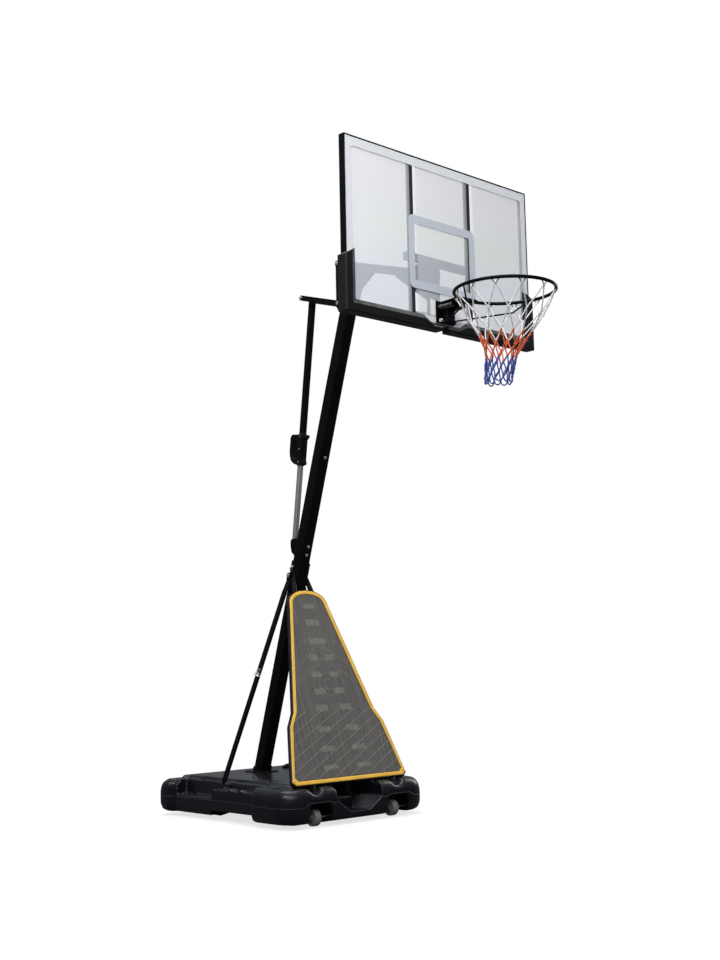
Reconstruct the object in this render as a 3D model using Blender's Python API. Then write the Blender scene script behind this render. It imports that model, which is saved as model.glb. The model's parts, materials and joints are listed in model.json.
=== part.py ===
"""Portable basketball stand: weighted base, leaning pole, folding arms, board, breakaway rim and net.

Metres, +Z up. The board faces -Y, and the origin is on the floor under the middle of the base.
"""

import math

import bpy
import numpy as np

# Room left between pieces that touch
GAP = 0.0003
BORE_CLEARANCE = 0.0004

# Base tank
BASE_WIDTH = 0.940
BASE_DEPTH = 1.085
BASE_HEIGHT = 0.185
BASE_CORNER = 0.100
REAR_CORNER = 0.045
CORNER_STEPS = 6
WAIST_INSET = 0.035
REAR_BLOCK_INSET = 0.009
WAIST_FRONT = -0.252
WAIST_REAR = 0.445
WAIST_JOG = 0.020
DECK_RISE = 0.018
DECK_INSET = 0.086
DECK_EDGE_RISE = 0.001
RECESS_FLOOR = 0.054
RECESS_FLOOR_HALF = 0.057
RECESS_SHOULDER = 0.114
RECESS_SHOULDER_HALF = 0.147
RECESS_TOP_HALF = 0.157
RECESS_DEPTH = 0.250
RECESS_CORNER = 0.040
STEP_HALF = 0.060
STEP_TOP = 0.112
STEP_SETBACK = 0.130
NOTCH_HEIGHT = 0.048
NOTCH_FRONT = -0.245
NOTCH_REAR = 0.100
NOTCH_SLOPE = 0.030
NOTCH_SPLAY = 0.200
FOOT_INSET = 0.150
FOOT_HEIGHT = 0.018
NOTCH_LAND = 0.160
SHELF_REACH = 0.062
SHELF_LEAN = 0.018
SCOOP_FLOOR = 0.112
SCOOP_FRONT = 0.105
SCOOP_REAR = 0.400
RIDGE_HEIGHT = 0.155
RIDGE_FRONT = -0.232
SADDLE_SHIFT = 0.010
SADDLE_FLOOR = 0.157
SADDLE_FLAT = 0.027
SADDLE_FLARE = 0.022
SADDLE_LENGTH = 0.120
SOCKET_DEPTH = 0.110

# Wheels
WHEEL_RADIUS = 0.040
WHEEL_WIDTH = 0.036
WHEEL_LIFT = 0.002
WHEEL_OFFSET = 0.260
WHEEL_SETBACK = 0.0595
WHEEL_ROOM = 0.055
ARCH_TOP = 0.112
AXLE_RADIUS = 0.005
AXLE_SEAT = 0.010

# Filler cap and drain plug
CAP_RADIUS = 0.030
CAP_HEIGHT = 0.014
CAP_X = 0.235
CAP_Y = 0.300
CAP_NECK_RADIUS = 0.022
CAP_NECK_DEPTH = 0.016
PLUG_RADIUS = 0.017
PLUG_HEIGHT = 0.090
PLUG_X = -0.220
PLUG_NECK = 0.010
PLUG_HEAD = 0.005
PLUG_SIDES = 24

# Pole
POLE_LEAN = math.radians(17.6)
POLE_SIZE = 0.0655
POLE_WALL = 0.0025
POLE_CORNER = 0.007
POLE_FOOT_Y = 0.247
POLE_FOOT_Z = 0.165
LOWER_SEAM = 0.900
UPPER_SEAM = 1.690
POLE_LENGTH = 2.750
NECK_LENGTH = 0.090
COLLAR_FLANGE = 0.032
COLLAR_THICKNESS = 0.005
SEAM_BOLT_RISE = 0.071
SEAM_BOLT_RADIUS = 0.004

# Head plates and arms
PLATE = 0.004
ARM_WIDTH = 0.012
ARM_SLOPE = math.radians(17.1)
ARM_LENGTH = 0.652
LEVER_LENGTH = 0.304
LOWER_ARM_HEIGHT = 0.028
UPPER_ARM_HEIGHT = 0.034
PIVOT_HEIGHT = 2.615
PIVOT_SPACING = 0.210
PIVOT_SETBACK = 0.00575
PIVOT_EDGE = 0.024
PIN_RADIUS = 0.005
PIN_HEAD_RADIUS = 0.0095
PIN_HEAD = 0.006
HEAD_PLATE_FRONT = 0.215
HEAD_PLATE_DROP = 0.040
STUB_REACH = 0.003

# Board
BOARD_WIDTH = 1.270
BOARD_HEIGHT = 0.800
BOARD_DEPTH = 0.033
BRACKET_REACH = 0.080
PIVOT_ABOVE_EDGE = 0.060
PANEL_THICKNESS = 0.005
FRAME_LIP = 0.006
FRAME_LIP_THICKNESS = 0.0015
FRAME_WALL = 0.003
FRAME_BAR = 0.024
UPRIGHT_SIZE = 0.025
UPRIGHT_WALL = 0.002
UPRIGHT_OFFSET = 0.200
CROSSBAR_HEIGHT = 0.036
CROSSBAR_DEPTH = 0.025
UPPER_CROSSBAR_RISE = 0.317
LOWER_CROSSBAR_HEIGHT = 0.020
BRACKET_TAIL = 0.250
BRACKET_STRIP = 0.020
BRACKET_FOOT_RISE = 0.137

# Edge pads
PAD_SIDE_COVER = 0.015
PAD_BOTTOM_COVER = 0.030
PAD_PROUD = 0.018
PAD_BEHIND = 0.007
PAD_BACK_LIP = 0.012
PAD_SIDE_FACE = 0.040
PAD_SIDE_BEVEL = 0.030
PAD_BOTTOM_FACE = 0.040
PAD_BOTTOM_BEVEL = 0.025
PAD_LEG_HEIGHT = 0.262
PAD_TOP_SLANT = 0.040
PAD_HALF_GAP = 0.022
PAD_NOTCH_TOP = 0.145
PAD_NOTCH_BOTTOM = 0.085
PAD_NOTCH_EDGE = 0.006

# Rim
RING_RADIUS = 0.233
RING_TUBE = 0.008
RING_REACH = 0.149
RING_ABOVE_EDGE = 0.0916
RING_STEPS = 48
RIM_BOX_HALF = 0.026
RIM_BOX_REACH = 0.040
RIM_BOX_BACK = 0.012
RIM_BOX_FOOT = 0.004
RIM_EAR_HALF = 0.043
RIM_SHEET = 0.004
RIM_HINGE_REACH = 0.022
RIM_HINGE_RISE = 0.0165
RIM_EAR_RADIUS = 0.0095
MOUNT_HALF = 0.060
MOUNT_BOTTOM = 0.008
MOUNT_TOP = 0.114
HOUSING_RADIUS = 0.0135
HOUSING_LENGTH = 0.086
HOUSING_BACK = 0.006
NECK_HALF = 0.052
NECK_END_HALF = 0.062
NECK_BACK = 0.014
NECK_SHEET = 0.006
NECK_LAP = 0.0015
BRACE_ROD = 0.004

# Net
NET_COLUMNS = 12
NET_ROWS = 7
NET_LENGTH = 0.425
NET_LEVELS = ((0.090, 0.180), (0.200, 0.1075), (0.305, 0.065))
NET_END_RADIUS = 0.0625
NET_CORD = 0.0048
NET_LEAN_START = 0.150
NET_LEAN_X = -0.026
NET_LEAN_Y = 0.044

# Strut, handle and trigger
CLEVIS_HEIGHT = 1.390
CLEVIS_SETBACK = 0.04225
CLEVIS_TAIL = 0.062
CLEVIS_RISE = 0.040
CLEVIS_WEB = 0.008
CLEVIS_BOLT_HEIGHTS = (1.345, 1.389)
CLEVIS_BOLT_RADIUS = 0.004
STRUT_EYE_OFFSET = 0.040
STRUT_TUBE = 0.030
STRUT_TUBE_WALL = 0.002
STRUT_ROD = 0.0245
STRUT_TUBE_START = 0.4425
STRUT_TUBE_PAST = 0.005
STRUT_ROD_LENGTH = 0.850
STRUT_HEAD_HALF = 0.0288
STRUT_HEAD_SHEET = 0.003
STRUT_HEAD_DROP = 0.014
STRUT_HEAD_EDGE = 0.010
HANDLE_LENGTH = 0.160
HANDLE_WIDTH = 0.038
HANDLE_FRONT = 0.021
HANDLE_REAR = 0.077
HANDLE_SPINE = 0.020
HANDLE_BOW = 0.015
HANDLE_SLEEVE = 0.010
TRIGGER_DEPTH = 0.009
TRIGGER_WIDTH = 0.018
TRIGGER_LENGTH = 0.116
TRIGGER_SWING = math.radians(5)
TRIGGER_ROOM = 0.0007
TRIGGER_HOUSING = 0.030
TRIGGER_PLAY = 0.0012
TRIGGER_PIN_RADIUS = 0.0025

# Braces and their collar
BRACE_RADIUS = 0.0138
BRACE_SWELL = 0.066
BRACE_TAB = 0.004
BRACE_TAB_WIDTH = 0.015
BRACE_TAB_LENGTH = 0.045
FRONT_FOOT_X = 0.262
SIDE_FOOT_INSET = 0.072
SIDE_FOOT_Y = 0.062
SIDE_TAB_LENGTH = 0.030
BRACE_COLLAR_HEIGHT = 1.245
BRACE_COLLAR_TALL = 0.120
FRONT_TOP_RISE = 0.020
SIDE_TOP_DROP = 0.020
SIDE_TOP_REAR = 0.0218
BOSS_LENGTH = 0.011
BOSS_RADIUS = 0.0078
COLLAR_BOLT_RADIUS = 0.005

# Front guard
GUARD_BOTTOM_HALF = 0.384
GUARD_CORNER = 0.018
GUARD_KINK_LOW = (0.319, 0.297)
GUARD_KINK_HIGH = (0.276, 0.367)
GUARD_SHOULDER = (0.1350, 0.932)
GUARD_ARCH = 0.92
GUARD_LENGTH = 1.0205
GUARD_SLOPE = math.atan(0.350)
GUARD_SETBACK = 0.0635
GUARD_DEPTH = 0.020
GUARD_WALL = 0.003
GUARD_SKIN = 0.0025
GUARD_ROUND = 0.003
GUARD_BAND = 0.019
GUARD_EDGE = 0.006
GUARD_SINK = 0.003
LEG_NOTCH_ROOM = 0.005


def polar(angle, length=1.0):
    """A direction in the Y-Z plane, with the angle measured from +Y up to +Z."""
    return np.array([0.0, math.cos(angle), math.sin(angle)]) * length


def turned(vector, angle):
    """A vector turned about +X."""
    c, s = math.cos(angle), math.sin(angle)
    x, y, z = vector
    return np.array([x, c * y - s * z, s * y + c * z])


# Places worked out from the sizes above
POLE_FOOT = np.array([0.0, POLE_FOOT_Y, POLE_FOOT_Z])
POLE_UP = polar(math.pi / 2 + POLE_LEAN)
POLE_BACK = turned(POLE_UP, -math.pi / 2)


def on_pole(height):
    """The point of the pole's axis at a height above the floor."""
    return POLE_FOOT + POLE_UP * (height - POLE_FOOT_Z) / POLE_UP[2]


def behind_pole(height, setback):
    """A point at a height, this far behind the pole's rear face."""
    point = on_pole(height)
    point[1] += (POLE_SIZE / 2 + setback) / math.cos(POLE_LEAN)
    return point


ARM_DOWN = -polar(ARM_SLOPE)
LOWER_PIVOT = behind_pole(PIVOT_HEIGHT, PIVOT_SETBACK)
UPPER_PIVOT = LOWER_PIVOT + (0, 0, PIVOT_SPACING)
LEVER_END = LOWER_PIVOT - ARM_DOWN * LEVER_LENGTH
BOARD_PIVOT = LOWER_PIVOT + ARM_DOWN * ARM_LENGTH
BOARD_UPPER_PIVOT = BOARD_PIVOT + (0, 0, PIVOT_SPACING)
BOARD_FRONT = BOARD_PIVOT[1] - BRACKET_REACH
BOARD_BOTTOM = BOARD_PIVOT[2] - PIVOT_ABOVE_EDGE
BOARD_BACK = BOARD_FRONT + BOARD_DEPTH
RING_CENTRE = np.array([0.0, BOARD_FRONT - RING_REACH - RING_RADIUS, BOARD_BOTTOM + RING_ABOVE_EDGE])
RIM_HINGE = np.array([0.0, BOARD_FRONT - RIM_HINGE_REACH, BOARD_BOTTOM + RIM_HINGE_RISE])
PLATE_IN = POLE_SIZE / 2 + GAP
PLATE_OUT = PLATE_IN + PLATE
ARM_IN = PLATE_OUT + GAP
ARM_OUT = ARM_IN + ARM_WIDTH
CLEVIS_PIN = behind_pole(CLEVIS_HEIGHT, CLEVIS_SETBACK)
REACH = LEVER_END - CLEVIS_PIN
SPAN = float(np.linalg.norm(REACH))
STRUT_UP = turned(REACH / SPAN, math.asin(STRUT_EYE_OFFSET / SPAN))
STRUT_BACK = turned(STRUT_UP, -math.pi / 2)
STRUT_EYE = float(REACH @ STRUT_UP)
WHEEL_Y = -BASE_DEPTH / 2 + WHEEL_SETBACK
WHEEL_Z = WHEEL_RADIUS + WHEEL_LIFT


def unit(vector):
    vector = np.array(vector, float)
    return vector / np.linalg.norm(vector)


def clear_scene():
    for obj in list(bpy.data.objects):
        bpy.data.objects.remove(obj)


def finish(name, colour, roughness, metallic=0.0, alpha=1.0):
    """A Principled material."""
    made = bpy.data.materials.new(name)
    made.use_nodes = True
    shader = made.node_tree.nodes["Principled BSDF"]
    shader.inputs["Base Color"].default_value = (*colour, 1.0)
    shader.inputs["Roughness"].default_value = roughness
    shader.inputs["Metallic"].default_value = metallic
    shader.inputs["Alpha"].default_value = alpha
    return made


def add_object(name, points, faces, material, smooth=False):
    mesh = bpy.data.meshes.new(name)
    mesh.from_pydata([tuple(float(c) for c in point) for point in points], [], faces)
    mesh.validate()
    obj = bpy.data.objects.new(name, mesh)
    bpy.context.scene.collection.objects.link(obj)
    if material is not None:
        mesh.materials.append(material)
    if smooth:
        mesh.shade_smooth()
        mesh.set_sharp_from_angle(angle=math.radians(35))
    return obj


def loft(name, rings, material, closed=False, smooth=True):
    """A skin over rings of points. A closed one joins its two end rings, and an open one is capped."""
    count = len(rings[0])
    points = [point for ring in rings for point in ring]
    faces = []
    last = len(rings) if closed else len(rings) - 1
    for i in range(last):
        a, b = i * count, (i + 1) % len(rings) * count
        for j in range(count):
            k = (j + 1) % count
            faces.append((a + j, a + k, b + k, b + j))
    if not closed:
        faces.append(tuple(reversed(range(count))))
        faces.append(tuple((len(rings) - 1) * count + j for j in range(count)))
    return add_object(name, points, outward(points, faces), material, smooth)


def outward(points, faces):
    """The faces, turned so that they face out."""
    spots = np.array(points, float)
    volume = 0.0
    for face in faces:
        for j in range(1, len(face) - 1):
            volume += np.dot(spots[face[0]], np.cross(spots[face[j]], spots[face[j + 1]]))
    return faces if volume > 0 else [tuple(reversed(face)) for face in faces]


def rounded_rectangle(width, height, radius, steps=3):
    """Points round a rectangle with round corners, about the middle."""
    points = []
    for corner in range(4):
        centre_x = (width / 2 - radius) * (1 if corner in (0, 3) else -1)
        centre_y = (height / 2 - radius) * (1 if corner < 2 else -1)
        for step in range(steps + 1):
            angle = math.pi / 2 * (corner + step / steps)
            points.append((centre_x + radius * math.cos(angle), centre_y + radius * math.sin(angle)))
    return points


def circle(radius, count):
    turn = 2 * math.pi / count
    return [(radius * math.cos(i * turn), radius * math.sin(i * turn)) for i in range(count)]


def placed(profile, origin, across, up):
    """A flat profile set at a point, along two directions."""
    return [np.array(origin) + np.array(across) * u + np.array(up) * v for u, v in profile]


def cross_axes(axis):
    """Two directions square to an axis, the first as near +X as it can be."""
    axis = np.array(axis, float) / np.linalg.norm(axis)
    start = np.array([1.0, 0, 0]) if abs(axis[0]) < 0.9 else np.array([0, 1.0, 0])
    across = start - axis * (start @ axis)
    across /= np.linalg.norm(across)
    return across, np.cross(axis, across)


def block(name, low, high, material):
    """A box between two corners."""
    x0, y0, z0 = low
    x1, y1, z1 = high
    points = [(x, y, z) for z in (z0, z1) for x, y in ((x0, y0), (x1, y0), (x1, y1), (x0, y1))]
    faces = [(0, 3, 2, 1), (4, 5, 6, 7), (0, 1, 5, 4), (1, 2, 6, 5), (2, 3, 7, 6), (3, 0, 4, 7)]
    return add_object(name, points, faces, material)


def slab(name, outline, x0, x1, material, smooth=False):
    """An outline in the Y-Z plane, pulled out along X."""
    rings = [[(x, y, z) for y, z in outline] for x in (x0, x1)]
    return loft(name, rings, material, smooth=smooth)


def rod(name, start, end, radius, material, sides=12):
    start, end = np.array(start, float), np.array(end, float)
    across, up = cross_axes(end - start)
    return loft(name, [placed(circle(radius, sides), spot, across, up) for spot in (start, end)], material)


def turned_piece(name, profile, origin, axis, material, sides=16):
    """Rings of (radius, distance along the axis), capped at both ends."""
    axis = np.array(axis, float)
    across, up = cross_axes(axis)
    rings = [placed(circle(r, sides), np.array(origin) + axis * t, across, up) for r, t in profile]
    return loft(name, rings, material)


def pin(name, middle, half, head_out, material, radius=PIN_RADIUS, axis=(1, 0, 0)):
    """A pin with a round head at each end. half is where its heads start."""
    room = half + GAP
    profile = [
        (head_out * 0.8, -room - PIN_HEAD),
        (head_out, -room - PIN_HEAD * 0.6),
        (head_out, -room),
        (radius, -room),
        (radius, room),
        (head_out, room),
        (head_out, room + PIN_HEAD * 0.6),
        (head_out * 0.8, room + PIN_HEAD),
    ]
    return turned_piece(name, profile, middle, axis, material, sides=12)


def square_tube(name, start, end, size, wall, corner, material):
    """An open square tube, with one pair of faces square to X."""
    start, end = np.array(start, float), np.array(end, float)
    across, up = cross_axes(end - start)
    outer = rounded_rectangle(size, size, corner)
    inner = rounded_rectangle(size - 2 * wall, size - 2 * wall, max(corner - wall, 0.0008))
    order = ((outer, start), (outer, end), (inner, end), (inner, start))
    rings = [placed(profile, spot, across, up) for profile, spot in order]
    return loft(name, rings, material, closed=True)


def cut(obj, cutter, operation="DIFFERENCE"):
    cutter.hide_render = True
    cutter.display_type = "WIRE"
    step = obj.modifiers.new("cut_" + cutter.name, "BOOLEAN")
    step.operation = operation
    step.object = cutter
    step.solver = "EXACT"


def bore(obj, middle, radius, half, axis=(1, 0, 0), sides=12):
    """A round hole through an object."""
    middle, axis = np.array(middle, float), np.array(axis, float)
    cut(obj, rod(f"bore_{obj.name}", middle - axis * half, middle + axis * half, radius, None, sides))


def capsule(start, end, radius, steps=6):
    """The outline in the Y-Z plane of a bar with round ends."""
    a, b = np.array(start)[1:], np.array(end)[1:]
    along = math.atan2(*(b - a)[::-1])
    points = []
    for spot, first in ((b, along - math.pi / 2), (a, along + math.pi / 2)):
        for step in range(steps + 1):
            angle = first + math.pi * step / steps
            points.append((spot[0] + radius * math.cos(angle), spot[1] + radius * math.sin(angle)))
    return points


def set_origin(obj, spot):
    """Puts an object's origin on its joint's axis, and leaves its shape where it is."""
    for vertex in obj.data.vertices:
        vertex.co = [a - float(b) for a, b in zip(vertex.co, spot)]
    obj.location = tuple(float(c) for c in spot)


def base_plan(inset):
    """The tank's outline, drawn in by an inset: corner blocks front and rear, and a narrower waist."""
    half = BASE_WIDTH / 2 - inset
    waist, block = half - WAIST_INSET, half - REAR_BLOCK_INSET
    front, rear = -BASE_DEPTH / 2 + inset, BASE_DEPTH / 2 - inset
    front_round = BASE_CORNER - inset * 0.5
    rear_round = REAR_CORNER - inset * 0.35
    jog = min(WAIST_REAR + WAIST_JOG / 2, rear - rear_round - 0.005)
    right = []
    for step in range(CORNER_STEPS + 1):
        angle = math.pi / 2 * (step / CORNER_STEPS - 1)
        turn = front_round * math.cos(angle), front_round * math.sin(angle)
        right.append((half - front_round + turn[0], front + front_round + turn[1]))
    right += [(half, WAIST_FRONT - WAIST_JOG / 2), (waist, WAIST_FRONT + WAIST_JOG / 2)]
    right += [(waist, jog - WAIST_JOG), (block, jog)]
    for step in range(CORNER_STEPS + 1):
        angle = math.pi / 2 * step / CORNER_STEPS
        turn = rear_round * math.cos(angle), rear_round * math.sin(angle)
        right.append((block - rear_round + turn[0], rear - rear_round + turn[1]))
    return right + [(-x, y) for x, y in reversed(right)]


def side_cutter(name, side, floor, front, rear):
    """Cuts the tank's side down to a floor, with walls that lean out to the deck."""
    top = BASE_HEIGHT + DECK_RISE + 0.01
    edge = BASE_WIDTH / 2
    rings = []
    for lean, z in ((0.0, floor), (SHELF_LEAN, top)):
        near, far = side * (edge - WAIST_INSET - SHELF_REACH - lean), side * (edge + 0.02)
        y0, y1 = front - lean, rear + lean
        rings.append([(near, y0, z), (far, y0, z), (far, y1, z), (near, y1, z)])
    return loft(name, rings, None)


def make_base(tank, trim, grey, steel):
    shape = (
        (FOOT_INSET, 0.0),
        (FOOT_INSET - 0.010, FOOT_HEIGHT),
        (0.030, FOOT_HEIGHT + 0.002),
        (0.010, FOOT_HEIGHT + 0.013),
        (0.0, 0.060),
        (0.0, 0.125),
        (0.004, 0.150),
        (0.012, 0.168),
        (0.032, BASE_HEIGHT),
        (DECK_INSET, BASE_HEIGHT + DECK_EDGE_RISE),
        (DECK_INSET + 0.012, BASE_HEIGHT + DECK_RISE),
    )
    rings = [[(x, y, z) for x, y in base_plan(inset)] for inset, z in shape]
    base = loft("base_tank", rings, tank)
    top = BASE_HEIGHT + DECK_RISE + 0.01

    front = -BASE_DEPTH / 2
    recess = []
    levels = (
        (RECESS_FLOOR_HALF, RECESS_FLOOR),
        (RECESS_SHOULDER_HALF, RECESS_SHOULDER),
        (RECESS_TOP_HALF, top),
    )
    for half, z in levels:
        plan = rounded_rectangle(2 * half, 2 * RECESS_DEPTH, RECESS_CORNER, 4)
        recess.append([(x, y + front, z) for x, y in plan])
    cut(base, loft("recess_cutter", recess, None))
    step_low = (-STEP_HALF, front + STEP_SETBACK, RECESS_FLOOR - 0.010)
    step_high = (STEP_HALF, front + RECESS_DEPTH + 0.010, STEP_TOP)
    cut(base, block("recess_step", step_low, step_high, None), "UNION")

    for side in (-1, 1):
        x = side * WHEEL_OFFSET
        half = WHEEL_WIDTH / 2 + WHEEL_ROOM
        arch = rounded_rectangle(2 * half, 2 * (WHEEL_SETBACK + WHEEL_RADIUS + 0.012), 0.012, 2)
        levels = ((1.0, -0.01), (1.0, ARCH_TOP - 0.02), (0.80, ARCH_TOP))
        rings = [[(x + u * scale, front + v * scale, z) for u, v in arch] for scale, z in levels]
        cut(base, loft(f"arch_cutter_{side}", rings, None))
        seat = half + AXLE_SEAT + GAP
        centre = np.array([x, WHEEL_Y, WHEEL_Z])
        bore(base, centre, AXLE_RADIUS + GAP, seat)

        rings = []
        for x, splay in ((NOTCH_LAND, NOTCH_SPLAY), (BASE_WIDTH / 2 + 0.02, 0.0)):
            rear = NOTCH_REAR + splay
            high = ((rear - NOTCH_SLOPE, NOTCH_HEIGHT), (NOTCH_FRONT, NOTCH_HEIGHT))
            rings.append([(side * x, y, z) for y, z in ((NOTCH_FRONT, -0.01), (rear, -0.01)) + high])
        cut(base, loft(f"notch_cutter_{side}", rings, None))
        cut(base, side_cutter(f"scoop_cutter_{side}", side, SCOOP_FLOOR, SCOOP_FRONT, SCOOP_REAR))
        cut(base, side_cutter(f"ridge_cutter_{side}", side, RIDGE_HEIGHT, RIDGE_FRONT, SCOOP_FRONT + 0.010))

        x, flat, flare = side * (FRONT_FOOT_X + SADDLE_SHIFT), SADDLE_FLAT, SADDLE_FLARE
        section = ((-flat - flare, top), (-flat, SADDLE_FLOOR), (flat, SADDLE_FLOOR), (flat + flare, top))
        rings = [[(x + u, y, z) for u, z in section] for y in (front - 0.02, front + SADDLE_LENGTH)]
        cut(base, loft(f"saddle_cutter_{side}", rings, None))

    socket_start = POLE_FOOT - POLE_UP * SOCKET_DEPTH
    across, up = cross_axes(POLE_UP)
    profile = rounded_rectangle(POLE_SIZE + 2 * GAP, POLE_SIZE + 2 * GAP, POLE_CORNER)
    ends = (socket_start - POLE_UP * GAP, POLE_FOOT + POLE_UP * 0.1)
    cut(base, loft("socket_cutter", [placed(profile, spot, across, up) for spot in ends], None))

    deck = BASE_HEIGHT + DECK_RISE
    cap_spot = np.array([CAP_X, CAP_Y, deck])
    bore(base, cap_spot, CAP_NECK_RADIUS + GAP, CAP_NECK_DEPTH + GAP, (0, 0, 1), 20)
    profile = [
        (CAP_NECK_RADIUS, -CAP_NECK_DEPTH),
        (CAP_NECK_RADIUS, GAP),
        (CAP_RADIUS, GAP),
        (CAP_RADIUS, CAP_HEIGHT * 0.8),
        (CAP_RADIUS * 0.88, CAP_HEIGHT),
    ]
    cap = turned_piece("filler_cap", profile, cap_spot, (0, 0, 1), trim, 20)
    grip = block("cap_grip", *grip_box(cap_spot), None)
    cut(cap, grip, "UNION")
    set_origin(cap, cap_spot)

    rear = BASE_DEPTH / 2
    plug_spot = np.array([PLUG_X, rear, PLUG_HEIGHT])
    bore(base, plug_spot, PLUG_RADIUS * 0.6 + BORE_CLEARANCE, PLUG_NECK + GAP, (0, 1, 0), PLUG_SIDES)
    neck = PLUG_RADIUS * 0.6
    profile = [(neck, -PLUG_NECK), (neck, GAP), (PLUG_RADIUS, GAP), (PLUG_RADIUS, PLUG_HEAD)]
    turned_piece("drain_plug", profile, plug_spot, (0, 1, 0), trim, PLUG_SIDES)

    for side, word in ((-1, "left"), (1, "right")):
        make_wheel(word, side * WHEEL_OFFSET, grey, steel)
    return base


def grip_box(spot):
    """The bar across the filler cap, as two corners."""
    low = (spot[0] - CAP_RADIUS * 0.7, spot[1] - 0.004, spot[2] + CAP_HEIGHT * 0.7)
    high = (spot[0] + CAP_RADIUS * 0.7, spot[1] + 0.004, spot[2] + CAP_HEIGHT + 0.008)
    return low, high


def make_wheel(word, x, grey, steel):
    centre = np.array([x, WHEEL_Y, WHEEL_Z])
    half, bore_radius = WHEEL_WIDTH / 2, AXLE_RADIUS + BORE_CLEARANCE
    profile = [
        (bore_radius, -half - 0.003),
        (0.013, -half - 0.003),
        (0.015, -half + 0.003),
        (WHEEL_RADIUS - 0.009, -half + 0.003),
        (WHEEL_RADIUS - 0.006, -half),
        (WHEEL_RADIUS, -half + 0.005),
        (WHEEL_RADIUS, half - 0.005),
        (WHEEL_RADIUS - 0.006, half),
        (WHEEL_RADIUS - 0.009, half - 0.003),
        (0.015, half - 0.003),
        (0.013, half + 0.003),
        (bore_radius, half + 0.003),
    ]
    axis = np.array([1.0, 0, 0])
    across, up = cross_axes(axis)
    rings = [placed(circle(r, 24), centre + axis * t, across, up) for r, t in profile]
    wheel = loft(f"wheel_{word}", rings, grey, closed=True)
    set_origin(wheel, centre)
    reach = half + WHEEL_ROOM + AXLE_SEAT
    rod(f"wheel_axle_{word}", centre - axis * reach, centre + axis * reach, AXLE_RADIUS, steel, 12)


def make_pole(black, steel):
    """Three tubes, each with its lower end over the neck of the one below."""
    across, up = cross_axes(POLE_UP)
    inside = POLE_SIZE - 2 * POLE_WALL
    neck = inside - 2 * GAP
    outer = rounded_rectangle(POLE_SIZE, POLE_SIZE, POLE_CORNER)
    slim = rounded_rectangle(neck, neck, POLE_CORNER - POLE_WALL)
    wide_bore = rounded_rectangle(inside, inside, POLE_CORNER - POLE_WALL)
    slim_bore = rounded_rectangle(neck - 2 * POLE_WALL, neck - 2 * POLE_WALL, POLE_CORNER - 2 * POLE_WALL)

    def at(distance, profile):
        return placed(profile, POLE_FOOT + POLE_UP * distance, across, up)

    spans = (("pole_lower", -SOCKET_DEPTH, LOWER_SEAM), ("pole_middle", LOWER_SEAM + GAP, UPPER_SEAM))
    tubes = []
    for name, start, seam in spans:
        rings = [
            at(start, outer),
            at(seam, outer),
            at(seam, slim),
            at(seam + NECK_LENGTH, slim),
            at(seam + NECK_LENGTH, slim_bore),
            at(seam - 0.004, slim_bore),
            at(seam - 0.004, wide_bore),
            at(start, wide_bore),
        ]
        tubes.append(loft(name, rings, black, closed=True))
    start = POLE_FOOT + POLE_UP * (UPPER_SEAM + GAP)
    end = POLE_FOOT + POLE_UP * POLE_LENGTH
    tubes.append(square_tube("pole_upper", start, end, POLE_SIZE, POLE_WALL, POLE_CORNER, black))

    spot = POLE_FOOT + POLE_UP * (UPPER_SEAM + SEAM_BOLT_RISE)
    pin("seam_bolt", spot, POLE_SIZE / 2, 0.0085, steel, SEAM_BOLT_RADIUS, POLE_BACK)
    for tube in tubes[1:]:
        bore(tube, spot, SEAM_BOLT_RADIUS + BORE_CLEARANCE, POLE_SIZE, POLE_BACK, 10)

    deck = BASE_HEIGHT + DECK_RISE + GAP
    hole = POLE_SIZE + 2 * GAP
    rim = hole + 2 * COLLAR_FLANGE
    stretch = 1 / math.cos(POLE_LEAN)
    levels = ((rim, 0.0), (rim, COLLAR_THICKNESS * 0.6), (rim - 0.004, COLLAR_THICKNESS))
    sleeve = ((hole + 0.008, COLLAR_THICKNESS), (hole + 0.008, 0.030), (hole, 0.030), (hole, 0.0))
    rings = []
    for size, rise in levels + sleeve:
        centre = on_pole(deck + rise)
        profile = rounded_rectangle(size, size * stretch, 0.008)
        rings.append([centre + np.array([u, v, 0]) for u, v in profile])
    loft("pole_collar", rings, black, closed=True)


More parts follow.
